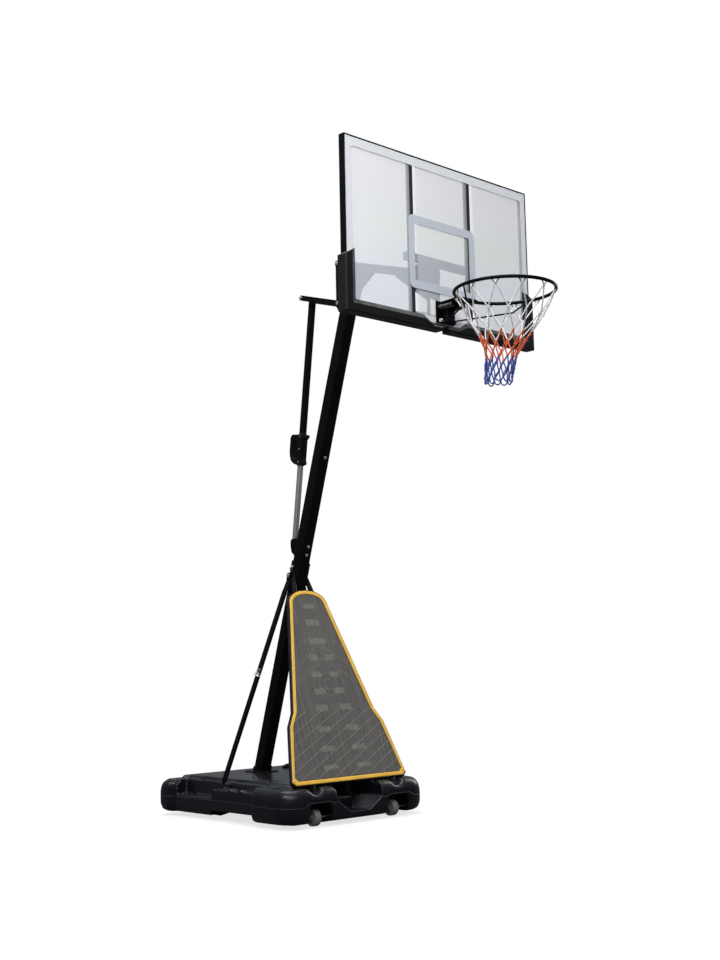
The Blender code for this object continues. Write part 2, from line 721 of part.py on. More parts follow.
def make_arms(black, steel):
    for word, side in (("left", -1), ("right", 1)):
        near, far = sorted((side * ARM_IN, side * ARM_OUT))
        outline = capsule(BOARD_PIVOT, LEVER_END, LOWER_ARM_HEIGHT / 2)
        lower = slab(f"lower_arm_{word}", outline, near, far, black)
        for spot in (BOARD_PIVOT, LOWER_PIVOT, LEVER_END):
            bore(lower, spot, PIN_RADIUS + BORE_CLEARANCE, 0.1)
        set_origin(lower, LOWER_PIVOT)
        outline = capsule(BOARD_UPPER_PIVOT, UPPER_PIVOT, UPPER_ARM_HEIGHT / 2)
        upper = slab(f"upper_arm_{word}", outline, near, far, black)
        for spot in (BOARD_UPPER_PIVOT, UPPER_PIVOT):
            bore(upper, spot, PIN_RADIUS + BORE_CLEARANCE, 0.1)
        set_origin(upper, UPPER_PIVOT)

        near, far = sorted((side * PLATE_IN, side * PLATE_OUT))
        plate = slab(f"head_plate_{word}", head_outline(), near, far, black)
        for spot in (LOWER_PIVOT, UPPER_PIVOT):
            bore(plate, spot, PIN_RADIUS + BORE_CLEARANCE, 0.1)

        stub = [
            (PIN_RADIUS, -STUB_REACH - GAP),
            (PIN_RADIUS, ARM_WIDTH + GAP),
            (PIN_HEAD_RADIUS, ARM_WIDTH + GAP),
            (PIN_HEAD_RADIUS, ARM_WIDTH + PIN_HEAD * 0.6),
            (PIN_HEAD_RADIUS * 0.8, ARM_WIDTH + PIN_HEAD),
        ]
        turned_piece(f"lever_bolt_{word}", stub, LEVER_END + (side * ARM_IN, 0, 0), (side, 0, 0), steel, 12)
    pin("pivot_pin_lower", LOWER_PIVOT, ARM_OUT, PIN_HEAD_RADIUS, steel)
    pin("pivot_pin_upper", UPPER_PIVOT, ARM_OUT, PIN_HEAD_RADIUS, steel)


def head_outline():
    """Side plate of the pole head: round both pivots, then down the pole."""
    top_rear = UPPER_PIVOT + (0, PIVOT_EDGE, PIVOT_EDGE)
    top_front = top_rear + ARM_DOWN * (HEAD_PLATE_FRONT + PIVOT_EDGE)
    half = POLE_SIZE / 2 / math.cos(POLE_LEAN)
    low = LOWER_PIVOT[2] - HEAD_PLATE_DROP
    chin = top_front[2] - 0.100
    points = [
        top_rear,
        top_front,
        top_front - (0, -0.006, 0.030),
        on_pole(chin) - (0, half, 0),
        on_pole(low) - (0, half, 0),
        on_pole(low) + (0, half, 0),
        LOWER_PIVOT + (0, PIVOT_EDGE, -PIVOT_EDGE * 0.5),
    ]
    return [(point[1], point[2]) for point in points]


def make_bracket(black, steel):
    """Two plates behind the board that hold the arms' front pivots."""
    face = crossbar_back() + GAP
    top = BOARD_BOTTOM + UPPER_CROSSBAR_RISE + CROSSBAR_HEIGHT / 2
    bottom = lower_crossbar()
    tail = BOARD_BACK + BRACKET_TAIL
    foot = BOARD_BOTTOM + BRACKET_FOOT_RISE
    lug = BOARD_PIVOT
    outline = [
        (face, bottom),
        (lug[1], lug[2] - 0.015),
        (lug[1] + 0.013, lug[2] - 0.008),
        (lug[1] + 0.013, lug[2] + 0.008),
        (lug[1], lug[2] + 0.015),
        (face + BRACKET_STRIP, lug[2] + 0.022),
        (face + BRACKET_STRIP, foot),
        (tail, top - CROSSBAR_HEIGHT - 0.004),
        (tail + 0.006, top - CROSSBAR_HEIGHT + 0.010),
        (face + 0.045, top),
        (face, top),
    ]
    for word, side in (("left", -1), ("right", 1)):
        near, far = sorted((side * PLATE_IN, side * PLATE_OUT))
        plate = slab(f"board_bracket_{word}", outline, near, far, black)
        for spot in (BOARD_PIVOT, BOARD_UPPER_PIVOT):
            bore(plate, spot, PIN_RADIUS + BORE_CLEARANCE, 0.1)
    pin("board_pin_lower", BOARD_PIVOT, ARM_OUT, PIN_HEAD_RADIUS, steel)
    pin("board_pin_upper", BOARD_UPPER_PIVOT, ARM_OUT, PIN_HEAD_RADIUS, steel)


def make_board(clear, black):
    """The clear panel in its frame of four mitred bars, with a welded rear frame behind."""
    half, height = BOARD_WIDTH / 2, BOARD_HEIGHT
    middle = BOARD_BOTTOM + height / 2
    slot_front = BOARD_FRONT
    slot_back = BOARD_FRONT + PANEL_THICKNESS + GAP
    inset = FRAME_WALL + GAP
    low = (-half + inset, slot_front, BOARD_BOTTOM + inset)
    high = (half - inset, slot_front + PANEL_THICKNESS, BOARD_BOTTOM + height - inset)
    block("board_panel", low, high, clear)
    profile = [
        (0.0, slot_front - GAP - FRAME_LIP_THICKNESS),
        (0.0, BOARD_BACK),
        (FRAME_BAR, BOARD_BACK),
        (FRAME_BAR, slot_back),
        (FRAME_WALL, slot_back),
        (FRAME_WALL, slot_front - GAP),
        (FRAME_LIP, slot_front - GAP),
        (FRAME_LIP, slot_front - GAP - FRAME_LIP_THICKNESS),
    ]
    tall = height / 2
    for word, turn in (("top", 0), ("left", 1), ("bottom", 2), ("right", 3)):
        rings = []
        for end in (1, -1):
            ring = []
            for depth, y in profile:
                if turn % 2 == 0:
                    x, z = end * (half - depth - GAP / 2), tall - depth
                else:
                    x, z = -(half - depth), end * (tall - depth - GAP / 2)
                flip = -1 if turn >= 2 else 1
                ring.append((x * flip, y, z * flip + middle))
            rings.append(ring)
        loft(f"frame_{word}", rings, black, smooth=False)

    wide = UPRIGHT_OFFSET + UPRIGHT_SIZE / 2
    near = slot_back + UPRIGHT_SIZE - UPRIGHT_WALL / 2
    far = crossbar_back()
    low = BOARD_BOTTOM + UPPER_CROSSBAR_RISE - CROSSBAR_HEIGHT / 2
    rear = block("rear_frame", (-wide, near, low), (wide, far, low + CROSSBAR_HEIGHT), black)
    reach = tall - FRAME_BAR - GAP
    for side in (-1, 1):
        x, y = side * UPRIGHT_OFFSET, slot_back + UPRIGHT_SIZE / 2
        ends = [(x, y, middle + reach * step) for step in (-1, 1)]
        cut(rear, square_tube(f"upright_{side}", *ends, UPRIGHT_SIZE, UPRIGHT_WALL, 0.003, None), "UNION")
    low = lower_crossbar()
    high = low + LOWER_CROSSBAR_HEIGHT
    cut(rear, block("crossbar_lower", (-wide, near, low), (wide, far, high), None), "UNION")


def crossbar_back():
    """Y of the rear faces of the crossbars, behind the board's frame."""
    return BOARD_BACK + GAP + CROSSBAR_DEPTH


def lower_crossbar():
    """Height of the lower crossbar's underside, just over the frame's bottom bar."""
    return BOARD_BOTTOM + FRAME_BAR + GAP


def pad_profile(cover, face, bevel):
    """Section of the edge pad, as (distance outside the board's edge, Y)."""
    front = BOARD_FRONT - GAP - FRAME_LIP_THICKNESS - GAP
    proud = BOARD_FRONT - PAD_PROUD
    back = BOARD_BACK + GAP
    rear = BOARD_BACK + PAD_BEHIND
    return [
        (cover - face - bevel, front),
        (cover - face, proud),
        (cover - 0.005, proud),
        (cover, proud + 0.005),
        (cover, rear),
        (-PAD_BACK_LIP, rear),
        (-PAD_BACK_LIP, back),
        (GAP, back),
        (GAP, front),
    ]


def make_pads(rubber):
    half = BOARD_WIDTH / 2
    side = pad_profile(PAD_SIDE_COVER, PAD_SIDE_FACE, PAD_SIDE_BEVEL)
    bottom = pad_profile(PAD_BOTTOM_COVER, PAD_BOTTOM_FACE, PAD_BOTTOM_BEVEL)
    rows = len(bottom)
    low_edge = [(PAD_NOTCH_EDGE, bottom[0][1]), (PAD_NOTCH_EDGE + 0.010, bottom[1][1])] + bottom[2:]
    leg_top = PAD_LEG_HEIGHT - PAD_BOTTOM_COVER
    span = PAD_SIDE_FACE + PAD_SIDE_BEVEL
    for word, sign in (("left", -1), ("right", 1)):
        rings = []
        top = []
        for u, y in side:
            rise = leg_top + PAD_TOP_SLANT * min(1.0, (PAD_SIDE_COVER - u) / span)
            top.append((sign * (half + u), y, BOARD_BOTTOM + rise))
        rings.append(top)
        corner = [(half + side[i][0], side[i][1], BOARD_BOTTOM - bottom[i][0]) for i in range(rows)]
        rings.append([(sign * x, y, z) for x, y, z in corner])
        for x, section in ((PAD_NOTCH_TOP, bottom), (PAD_NOTCH_BOTTOM, low_edge), (PAD_HALF_GAP, low_edge)):
            rings.append([(sign * x, y, BOARD_BOTTOM - u) for u, y in section])
        loft(f"pad_{word}", rings, rubber, smooth=False)


def make_rim(black, steel, cord):
    front = BOARD_FRONT - GAP
    low, high = BOARD_BOTTOM + MOUNT_BOTTOM, BOARD_BOTTOM + MOUNT_TOP
    mount = block("rim_mount", (-MOUNT_HALF, front - RIM_SHEET, low), (MOUNT_HALF, front, high), black)
    ear_in = RIM_EAR_HALF + GAP
    for side in (-1, 1):
        near, far = sorted((side * ear_in, side * (ear_in + RIM_SHEET)))
        outline = capsule(RIM_HINGE, (0, front - RIM_SHEET / 2, RIM_HINGE[2]), RIM_EAR_RADIUS)
        outline = [(min(y, front - 0.001), z) for y, z in outline]
        ear = slab(f"ear_{side}", outline, near, far, None)
        cut(mount, ear, "UNION")
    bore(mount, RIM_HINGE, PIN_RADIUS + BORE_CLEARANCE, 0.1)
    pin("rim_hinge_pin", RIM_HINGE, ear_in + RIM_SHEET, PIN_HEAD_RADIUS, steel)

    back = BOARD_FRONT - RIM_BOX_BACK
    reach = BOARD_FRONT - RIM_BOX_REACH
    top = neck_level() - GAP
    bottom = BOARD_BOTTOM + RIM_BOX_FOOT
    outline = [
        (back, top),
        (back, bottom + RIM_SHEET),
        (back - RIM_SHEET, bottom),
        (reach, bottom),
        (reach, top),
    ]
    box = slab("rim_bracket", outline, -RIM_BOX_HALF, RIM_BOX_HALF, black)
    inner = RIM_BOX_HALF - RIM_SHEET
    hollow = (-inner, reach + RIM_SHEET, bottom - 0.02), (inner, back + 0.02, top - RIM_SHEET)
    cut(box, block("bracket_cutter", *hollow, None))
    bore(box, RIM_HINGE, PIN_RADIUS + BORE_CLEARANCE, 0.1)
    set_origin(box, RIM_HINGE)

    seat = neck_level() - GAP - HOUSING_RADIUS
    offset = RIM_BOX_HALF + GAP + HOUSING_RADIUS
    for word, side in (("left", -1), ("right", 1)):
        spot = np.array([side * offset, BOARD_FRONT - HOUSING_BACK, seat])
        profile = [
            (HOUSING_RADIUS * 0.86, 0.0),
            (HOUSING_RADIUS, 0.003),
            (HOUSING_RADIUS, HOUSING_LENGTH - 0.004),
            (HOUSING_RADIUS * 0.8, HOUSING_LENGTH),
        ]
        housing = turned_piece(f"spring_housing_{word}", profile, spot, (0, -1, 0), black, 16)
        set_origin(housing, RIM_HINGE)

    make_ring(black)
    make_net(cord)


def neck_level():
    """Height of the neck plate's underside, which laps over the top of the ring's tube."""
    return RING_CENTRE[2] + RING_TUBE - NECK_LAP


def make_ring(black):
    ring = []
    for step in range(RING_STEPS):
        angle = 2 * math.pi * step / RING_STEPS
        out = np.array([math.cos(angle), math.sin(angle), 0])
        ring.append(placed(circle(RING_TUBE, 8), RING_CENTRE + out * RING_RADIUS, out, (0, 0, 1)))
    hoop = loft("rim_ring", ring, black, closed=True)

    near = BOARD_FRONT - RIM_BOX_REACH - GAP
    meet = RING_CENTRE[1] + RING_RADIUS * math.cos(math.asin(NECK_END_HALF / RING_RADIUS))
    rear, level = BOARD_FRONT - NECK_BACK, neck_level()
    plan = [(-NECK_HALF, rear), (NECK_HALF, rear), (NECK_END_HALF, meet), (-NECK_END_HALF, meet)]
    plate = loft("neck_plate", [[(x, y, level + rise) for x, y in plan] for rise in (0, NECK_SHEET)], None)
    cut(hoop, plate, "UNION")
    drop = block(
        "neck_drop",
        (-RIM_BOX_HALF, near - RIM_SHEET, BOARD_BOTTOM + 0.010),
        (RIM_BOX_HALF, near, level + NECK_SHEET / 2),
        None,
    )
    cut(hoop, drop, "UNION")
    for side in (-1, 1):
        foot = np.array([side * 0.020, near - RIM_SHEET * 0.7, BOARD_BOTTOM + 0.016])
        bend = np.array([side * 0.160, BOARD_FRONT - 0.290, BOARD_BOTTOM + 0.031])
        angle = math.radians(-12 if side > 0 else 192)
        meet = RING_CENTRE + np.array([math.cos(-angle), math.sin(-angle), 0]) * RING_RADIUS
        route = [foot, bend, meet]
        cut(hoop, bent_rod(f"brace_rod_{side}", route, BRACE_ROD), "UNION")
    set_origin(hoop, RIM_HINGE)


def bent_rod(name, route, radius, sides=8):
    """A round rod through a few points, mitred at the bends."""
    route = [np.array(spot, float) for spot in route]
    rings = []
    for i, spot in enumerate(route):
        before = route[max(i - 1, 0)]
        after = route[min(i + 1, len(route) - 1)]
        axis = after - before
        across, up = cross_axes(axis)
        rings.append(placed(circle(radius, sides), spot, across, up))
    return loft(name, rings, None)


def net_radius(drop):
    """The net's radius at a distance below the ring."""
    levels = ((0.0, RING_RADIUS - RING_TUBE * 0.2),) + NET_LEVELS + ((NET_LENGTH, NET_END_RADIUS),)
    return float(np.interp(drop, [level[0] for level in levels], [level[1] for level in levels]))


def net_middle(drop):
    """The net's middle at a distance below the ring. Its lower part hangs a little to one side."""
    lean = max(0.0, drop - NET_LEAN_START) / (NET_LENGTH - NET_LEAN_START)
    return RING_CENTRE[0] + NET_LEAN_X * lean, RING_CENTRE[1] + NET_LEAN_Y * lean


def make_net(cord):
    """A diamond lattice, from the ring down to the narrow end."""
    top = RING_CENTRE[2] - RING_TUBE - GAP - NET_CORD * 0.42
    points, faces = [], []
    for row in range(NET_ROWS + 1):
        drop = NET_LENGTH * row / NET_ROWS
        radius = net_radius(drop)
        middle = net_middle(drop)
        for column in range(NET_COLUMNS):
            angle = 2 * math.pi * (column + row % 2 / 2) / NET_COLUMNS
            x, y = radius * math.cos(angle), radius * math.sin(angle)
            points.append((middle[0] + x, middle[1] + y, top - drop))
    for row in range(NET_ROWS - 1):
        for column in range(NET_COLUMNS):
            beside = (column - 1 + row % 2) % NET_COLUMNS
            left = (row + 1) * NET_COLUMNS + beside
            right = (row + 1) * NET_COLUMNS + (beside + 1) % NET_COLUMNS
            faces.append((row * NET_COLUMNS + column, left, (row + 2) * NET_COLUMNS + column, right))
    net = add_object("net", points, faces, cord)
    wire = net.modifiers.new("cords", "WIREFRAME")
    wire.thickness = NET_CORD
    wire.use_boundary = True
    wire.use_even_offset = False
    set_origin(net, RIM_HINGE)


def strut_point(along, back=0.0, x=0.0):
    return CLEVIS_PIN + STRUT_UP * along + STRUT_BACK * back + np.array([x, 0, 0])


def make_strut(black, steel, zinc, grip):
    half = STRUT_ROD / 2 + GAP
    cheek = half + PLATE
    face = POLE_SIZE / 2 + GAP
    low, high = CLEVIS_HEIGHT - CLEVIS_TAIL, CLEVIS_HEIGHT + CLEVIS_RISE
    rear = face / math.cos(POLE_LEAN)
    nose = ((0.008, -0.032), (0.0145, -0.008), (0.0155, 0.010), (0.014, 0.030), (0.006, 0.038))
    points = [on_pole(low) + (0, rear, 0)]
    points += [CLEVIS_PIN + (0, y, z) for y, z in nose]
    points.append(on_pole(high) + (0, rear, 0))
    outline = [(point[1], point[2]) for point in points]
    clevis = slab("strut_clevis", outline, -cheek, cheek, black)
    slot_low = CLEVIS_PIN - POLE_BACK * (CLEVIS_SETBACK - GAP - CLEVIS_WEB)
    corner = [slot_low - POLE_UP * 0.13, slot_low + POLE_UP * 0.13]
    corner = [corner[0], corner[0] + POLE_BACK * 0.2, corner[1] + POLE_BACK * 0.2, corner[1]]
    slot = [(point[1], point[2]) for point in corner]
    cut(clevis, slab("clevis_slot", slot, -half, half, None))
    bore(clevis, CLEVIS_PIN, PIN_RADIUS + BORE_CLEARANCE, 0.1)
    pin("clevis_pin", CLEVIS_PIN, cheek, PIN_HEAD_RADIUS, steel)
    for word, height in zip(("lower", "upper"), CLEVIS_BOLT_HEIGHTS):
        spot = on_pole(height) + POLE_BACK * (GAP + CLEVIS_WEB) / 2
        half_grip = (POLE_SIZE + GAP + CLEVIS_WEB) / 2
        pin(f"clevis_bolt_{word}", spot, half_grip, 0.0080, steel, CLEVIS_BOLT_RADIUS, POLE_BACK)
        for piece in (clevis, bpy.data.objects["pole_middle"]):
            bore(piece, spot, CLEVIS_BOLT_RADIUS + BORE_CLEARANCE, POLE_SIZE, POLE_BACK, 10)

    start, end = strut_point(-0.012), strut_point(STRUT_ROD_LENGTH)
    across, up = cross_axes(STRUT_UP)
    profile = rounded_rectangle(STRUT_ROD, STRUT_ROD, 0.003)
    bar = loft("strut_rod", [placed(profile, spot, across, up) for spot in (start, end)], zinc)
    bore(bar, CLEVIS_PIN, PIN_RADIUS + BORE_CLEARANCE, 0.1)
    set_origin(bar, CLEVIS_PIN)

    tube_end = STRUT_EYE + STRUT_TUBE_PAST
    tube = square_tube(
        "strut_tube",
        strut_point(STRUT_TUBE_START),
        strut_point(tube_end),
        STRUT_TUBE,
        STRUT_TUBE_WALL,
        0.004,
        black,
    )
    low, high = STRUT_EYE - STRUT_HEAD_DROP, STRUT_EYE + STRUT_TUBE_PAST
    eye_back = STRUT_EYE_OFFSET + STRUT_HEAD_EDGE
    for side in (-1, 1):
        near, far = sorted((side * (STRUT_HEAD_HALF - STRUT_HEAD_SHEET), side * STRUT_HEAD_HALF))
        marks = (
            strut_point(low, 0.0),
            strut_point(low, STRUT_TUBE / 2),
            strut_point(low + 0.003, eye_back),
            strut_point(high + 0.003, eye_back),
            strut_point(high - 0.001, 0.0),
        )
        outline = [(mark[1], mark[2]) for mark in marks]
        cut(tube, slab(f"head_cheek_{side}", outline, near, far, None), "UNION")
    web = [strut_point(low + 0.002, 0.002), strut_point(low + 0.002, STRUT_TUBE / 2 + 0.004)]
    web += [strut_point(high - 0.002, STRUT_TUBE / 2 + 0.004), strut_point(high - 0.002, 0.002)]
    outline = [(mark[1], mark[2]) for mark in web]
    wide = STRUT_HEAD_HALF - 0.001
    cut(tube, slab("head_web", outline, -wide, wide, None), "UNION")
    set_origin(tube, strut_point(0.0))
    make_handle(grip, steel)


def handle_points(marks):
    """Outline points given as (along the strut, behind its axis)."""
    made = [strut_point(STRUT_TUBE_START - HANDLE_SLEEVE + along, back) for along, back in marks]
    return [(mark[1], mark[2]) for mark in made]


def make_handle(grip, steel):
    """A moulded grip round the tube, with a finger opening behind it and a trigger hinged at its top."""
    long, rear, front = HANDLE_LENGTH, HANDLE_REAR, -HANDLE_FRONT
    outline = handle_points((
        (0.0, front),
        (0.0, rear * 0.30),
        (0.006, rear * 0.52),
        (0.020, rear * 0.78),
        (0.042, rear * 0.93),
        (0.070, rear),
        (long - 0.018, rear),
        (long - 0.006, rear * 0.93),
        (long, rear * 0.78),
        (long, front - 0.012),
        (long - 0.012, front - 0.016),
        (long - 0.026, front),
        (0.022, front),
        (0.016, front - 0.005),
        (0.004, front - 0.005),
    ))
    half = HANDLE_WIDTH / 2
    body = slab("handle_body", outline, -half, half, grip)
    spine, bow, head = HANDLE_SPINE, rear - HANDLE_BOW, long - TRIGGER_HOUSING
    opening = handle_points((
        (0.024, spine),
        (0.024, rear * 0.58),
        (0.046, bow - 0.004),
        (0.072, bow),
        (head - 0.010, bow),
        (head, bow - 0.010),
        (head, spine),
    ))
    cut(body, slab("finger_cutter", opening, -0.1, 0.1, None))
    wide = TRIGGER_WIDTH / 2 + TRIGGER_PLAY / 2
    roof = long - 0.008
    mouth, back = head - 0.002, bow - 0.012
    pocket = handle_points(((mouth, spine), (mouth, back), (roof, back), (roof, spine)))
    cut(body, slab("pocket_cutter", pocket, -wide, wide, None))
    across, up = cross_axes(STRUT_UP)
    wide = STRUT_TUBE + 2 * GAP
    profile = rounded_rectangle(wide, wide, 0.004)
    spots = (strut_point(STRUT_TUBE_START - GAP), strut_point(STRUT_TUBE_START + long + 0.02))
    cut(body, loft("tube_bore", [placed(profile, spot, across, up) for spot in spots], None))
    slim = STRUT_ROD + 2 * BORE_CLEARANCE
    profile = rounded_rectangle(slim, slim, 0.003)
    spots = (strut_point(STRUT_TUBE_START - 0.05), strut_point(STRUT_TUBE_START + 0.02))
    cut(body, loft("rod_bore", [placed(profile, spot, across, up) for spot in spots], None))

    top, near = roof - TRIGGER_PLAY, spine + GAP
    tip, hinge = top - TRIGGER_LENGTH, trigger_hinge()
    stand = (hinge - tip) * math.tan(TRIGGER_SWING) + TRIGGER_ROOM
    lever = handle_points((
        (top, near),
        (hinge, near + TRIGGER_ROOM),
        (tip + 0.008, near + stand),
        (tip, near + stand + 0.003),
        (tip, near + stand + TRIGGER_DEPTH + 0.002),
        (hinge - 0.015, near + TRIGGER_DEPTH + 0.002),
        (top, near + TRIGGER_DEPTH + 0.003),
    ))
    wide = TRIGGER_WIDTH / 2
    trigger = slab("trigger", lever, -wide, wide, grip)
    spot = trigger_pivot()
    bore(trigger, spot, TRIGGER_PIN_RADIUS + BORE_CLEARANCE, 0.1, sides=10)
    reach = half - 0.002
    bore(body, spot, TRIGGER_PIN_RADIUS + GAP, reach + GAP, sides=10)
    set_origin(body, strut_point(0.0))
    set_origin(trigger, spot)
    rod("trigger_pin", spot - (reach, 0, 0), spot + (reach, 0, 0), TRIGGER_PIN_RADIUS, steel, 10)


def trigger_hinge():
    """How far up the handle the trigger's hinge lies, in the pocket over the finger opening."""
    return HANDLE_LENGTH - TRIGGER_HOUSING / 2 - 0.004


def trigger_pivot():
    along = STRUT_TUBE_START - HANDLE_SLEEVE + trigger_hinge()
    return strut_point(along, HANDLE_SPINE + GAP + TRIGGER_DEPTH * 0.6)


def make_braces(black, steel):
    low = on_pole(BRACE_COLLAR_HEIGHT) - POLE_UP * BRACE_COLLAR_TALL / 2
    high = low + POLE_UP * BRACE_COLLAR_TALL
    across, up = cross_axes(POLE_UP)
    inner = POLE_SIZE + 2 * GAP
    outer = inner + 2 * PLATE
    sizes = ((outer, low), (outer, high), (inner, high), (inner, low))
    rings = [placed(rounded_rectangle(size, size, POLE_CORNER), spot, across, up) for size, spot in sizes]
    collar = loft("brace_collar", rings, black, closed=True)
    middle = on_pole(BRACE_COLLAR_HEIGHT)
    front_top = middle + POLE_UP * FRONT_TOP_RISE
    front_top[1] = leg_line(front_top[2])
    side_top = middle - POLE_UP * SIDE_TOP_DROP + POLE_BACK * SIDE_TOP_REAR
    front_in = outer / 2 + GAP
    side_in = front_in + BOSS_LENGTH
    for side in (-1, 1):
        near, far = inner / 2 + PLATE / 2, side_in - GAP
        ends = (side_top + (side * near, 0, 0), side_top + (side * far, 0, 0))
        cut(collar, rod(f"collar_boss_{side}", *ends, BOSS_RADIUS, None, 12), "UNION")
    tubes = [bpy.data.objects["pole_middle"], bpy.data.objects["pole_lower"]]
    for word, spot, tab_in in (("front", front_top, front_in), ("side", side_top, side_in)):
        pin(f"collar_bolt_{word}", spot, tab_in + BRACE_TAB, PIN_HEAD_RADIUS, steel, COLLAR_BOLT_RADIUS)
        for piece in [collar] + tubes:
            bore(piece, spot, COLLAR_BOLT_RADIUS + BORE_CLEARANCE, 0.1)
    for side, word in ((-1, "left"), (1, "right")):
        level = SADDLE_FLOOR + GAP + BRACE_TAB / 2
        foot = (side * FRONT_FOOT_X, leg_line(level), level)
        head = front_top + (side * (front_in + BRACE_TAB / 2), 0, 0)
        leg = brace(f"front_brace_{word}", head, foot, side, black, BRACE_TAB_LENGTH)
        bore(leg, front_top, COLLAR_BOLT_RADIUS + BORE_CLEARANCE, 0.1)
        foot = (side * (BASE_WIDTH / 2 - SIDE_FOOT_INSET), SIDE_FOOT_Y, RIDGE_HEIGHT + GAP + BRACE_TAB / 2)
        head = side_top + (side * (side_in + BRACE_TAB / 2), 0, 0)
        leg = brace(f"side_brace_{word}", head, foot, side, black, SIDE_TAB_LENGTH)
        bore(leg, side_top, COLLAR_BOLT_RADIUS + BORE_CLEARANCE, 0.1)


def leg_line(height):
    """Y of a front leg's axis at a height, so that the guard lies against it all the way."""
    behind = (GUARD_SINK + GUARD_SKIN + GAP + BRACE_RADIUS) / GUARD_IN[1]
    return GUARD_BOTTOM_Y + behind + (height - GUARD_BOTTOM_Z) * math.tan(GUARD_SLOPE)


def brace(name, head, stop, side, material, foot_tab):
    """A round tube with its ends pressed flat: one against the collar, the other bent out over the tank."""
    stop = np.array(stop, float)
    fall = unit((stop - head) * (0, 1, 1))
    bend = BRACE_TAB_LENGTH * 0.6
    start = head + fall * bend
    body = unit(stop - start)
    flat = unit(body * (1, 1, 0))
    foot = stop + flat * foot_tab * 0.6
    out, down = np.array([float(side), 0, 0]), np.array([0, 0, -1.0])
    thin, tip = BRACE_TAB / 2, BRACE_TAB_WIDTH * 0.6

    def head_ring(spot, along, wide, thick):
        """A section with its thin way towards the collar."""
        second = unit(out - along * (out @ along))
        first = np.cross(along, second)
        return [spot + first * wide * u + second * thick * v for u, v in circle(1.0, 12)]

    def foot_ring(spot, along, wide, thick):
        """A section with its thin way up and down."""
        first = unit(down - along * (down @ along))
        second = np.cross(first, along)
        return [spot + first * thick * u + second * wide * v for u, v in circle(1.0, 12)]

    easing = (BRACE_RADIUS * 1.10, BRACE_RADIUS * 0.45)
    rings = [
        head_ring(head - fall * BRACE_TAB_LENGTH * 0.35, fall, tip, thin),
        head_ring(head - fall * BRACE_TAB_LENGTH * 0.22, fall, BRACE_TAB_WIDTH, thin),
        head_ring(start, unit(fall + body), BRACE_TAB_WIDTH, thin),
        head_ring(start + body * 0.022, body, *easing),
        head_ring(start + body * BRACE_SWELL, body, BRACE_RADIUS, BRACE_RADIUS),
        head_ring(stop - body * 0.045, body, BRACE_RADIUS, BRACE_RADIUS),
        foot_ring(stop - body * 0.022, body, *easing),
        foot_ring(stop, unit(flat + body), BRACE_TAB_WIDTH, thin),
        foot_ring(foot + flat * foot_tab * 0.22, flat, BRACE_TAB_WIDTH, thin),
        foot_ring(foot + flat * foot_tab * 0.35, flat, tip, thin),
    ]
    return loft(name, rings, material)


def guard_outline(inset):
    """The guard's edge, as (across, up the slope), drawn in by an inset."""
    half, corner = GUARD_BOTTOM_HALF - inset, GUARD_CORNER
    right = [(half - corner, inset), (half, corner + inset)]
    for x, rise in (GUARD_KINK_LOW, GUARD_KINK_HIGH, GUARD_SHOULDER):
        right.append((x - inset, rise))
    wide, tall = GUARD_SHOULDER[0] - inset, GUARD_LENGTH - inset - GUARD_SHOULDER[1]
    for step in range(1, 6):
        angle = math.pi / 2 * step / 6
        rise = GUARD_SHOULDER[1] + tall * math.sin(angle) ** GUARD_ARCH
        right.append((wide * math.cos(angle) ** GUARD_ARCH, rise))
    left = [(-x, rise) for x, rise in reversed(right)]
    return right + [(0.0, GUARD_LENGTH - inset)] + left


GUARD_UP = polar(math.pi / 2 - GUARD_SLOPE)
GUARD_IN = turned(GUARD_UP, -math.pi / 2)
GUARD_BOTTOM_Y = -BASE_DEPTH / 2 + GUARD_SETBACK
GUARD_BOTTOM_Z = BASE_HEIGHT + DECK_EDGE_RISE + GAP - GUARD_IN[2] * GUARD_DEPTH


def guard_point(across, rise, depth):
    """A point of the guard. depth is measured behind its front face."""
    start = np.array([across, GUARD_BOTTOM_Y, GUARD_BOTTOM_Z])
    return start + GUARD_UP * rise + GUARD_IN * depth


def guard_ring(inset, depth):
    return [guard_point(x, rise, depth) for x, rise in guard_outline(inset)]


def leg_across(height):
    """How far out a front leg's axis lies at a height."""
    head = BRACE_COLLAR_HEIGHT + POLE_UP[2] * FRONT_TOP_RISE
    top = POLE_SIZE / 2 + 2 * GAP + PLATE + BRACE_TAB / 2
    share = (head - height) / (head - SADDLE_FLOOR)
    return top + (FRONT_FOOT_X - top) * share


def leg_notch(name, side, low, high):
    """Cuts the guard's flange where a front leg passes it, between two heights up the slope."""
    room = BRACE_RADIUS + LEG_NOTCH_ROOM
    depths = GUARD_SINK + GUARD_SKIN - GAP, GUARD_DEPTH + 0.010
    rings = []
    for rise in (low, high):
        middle = leg_across(guard_point(0, rise, 0)[2])
        corners = [(middle - room, depths[0]), (middle + room, depths[0])]
        corners += [(middle + room, depths[1]), (middle - room, depths[1])]
        rings.append([guard_point(side * x, rise, depth) for x, depth in corners])
    return loft(name, rings, None)


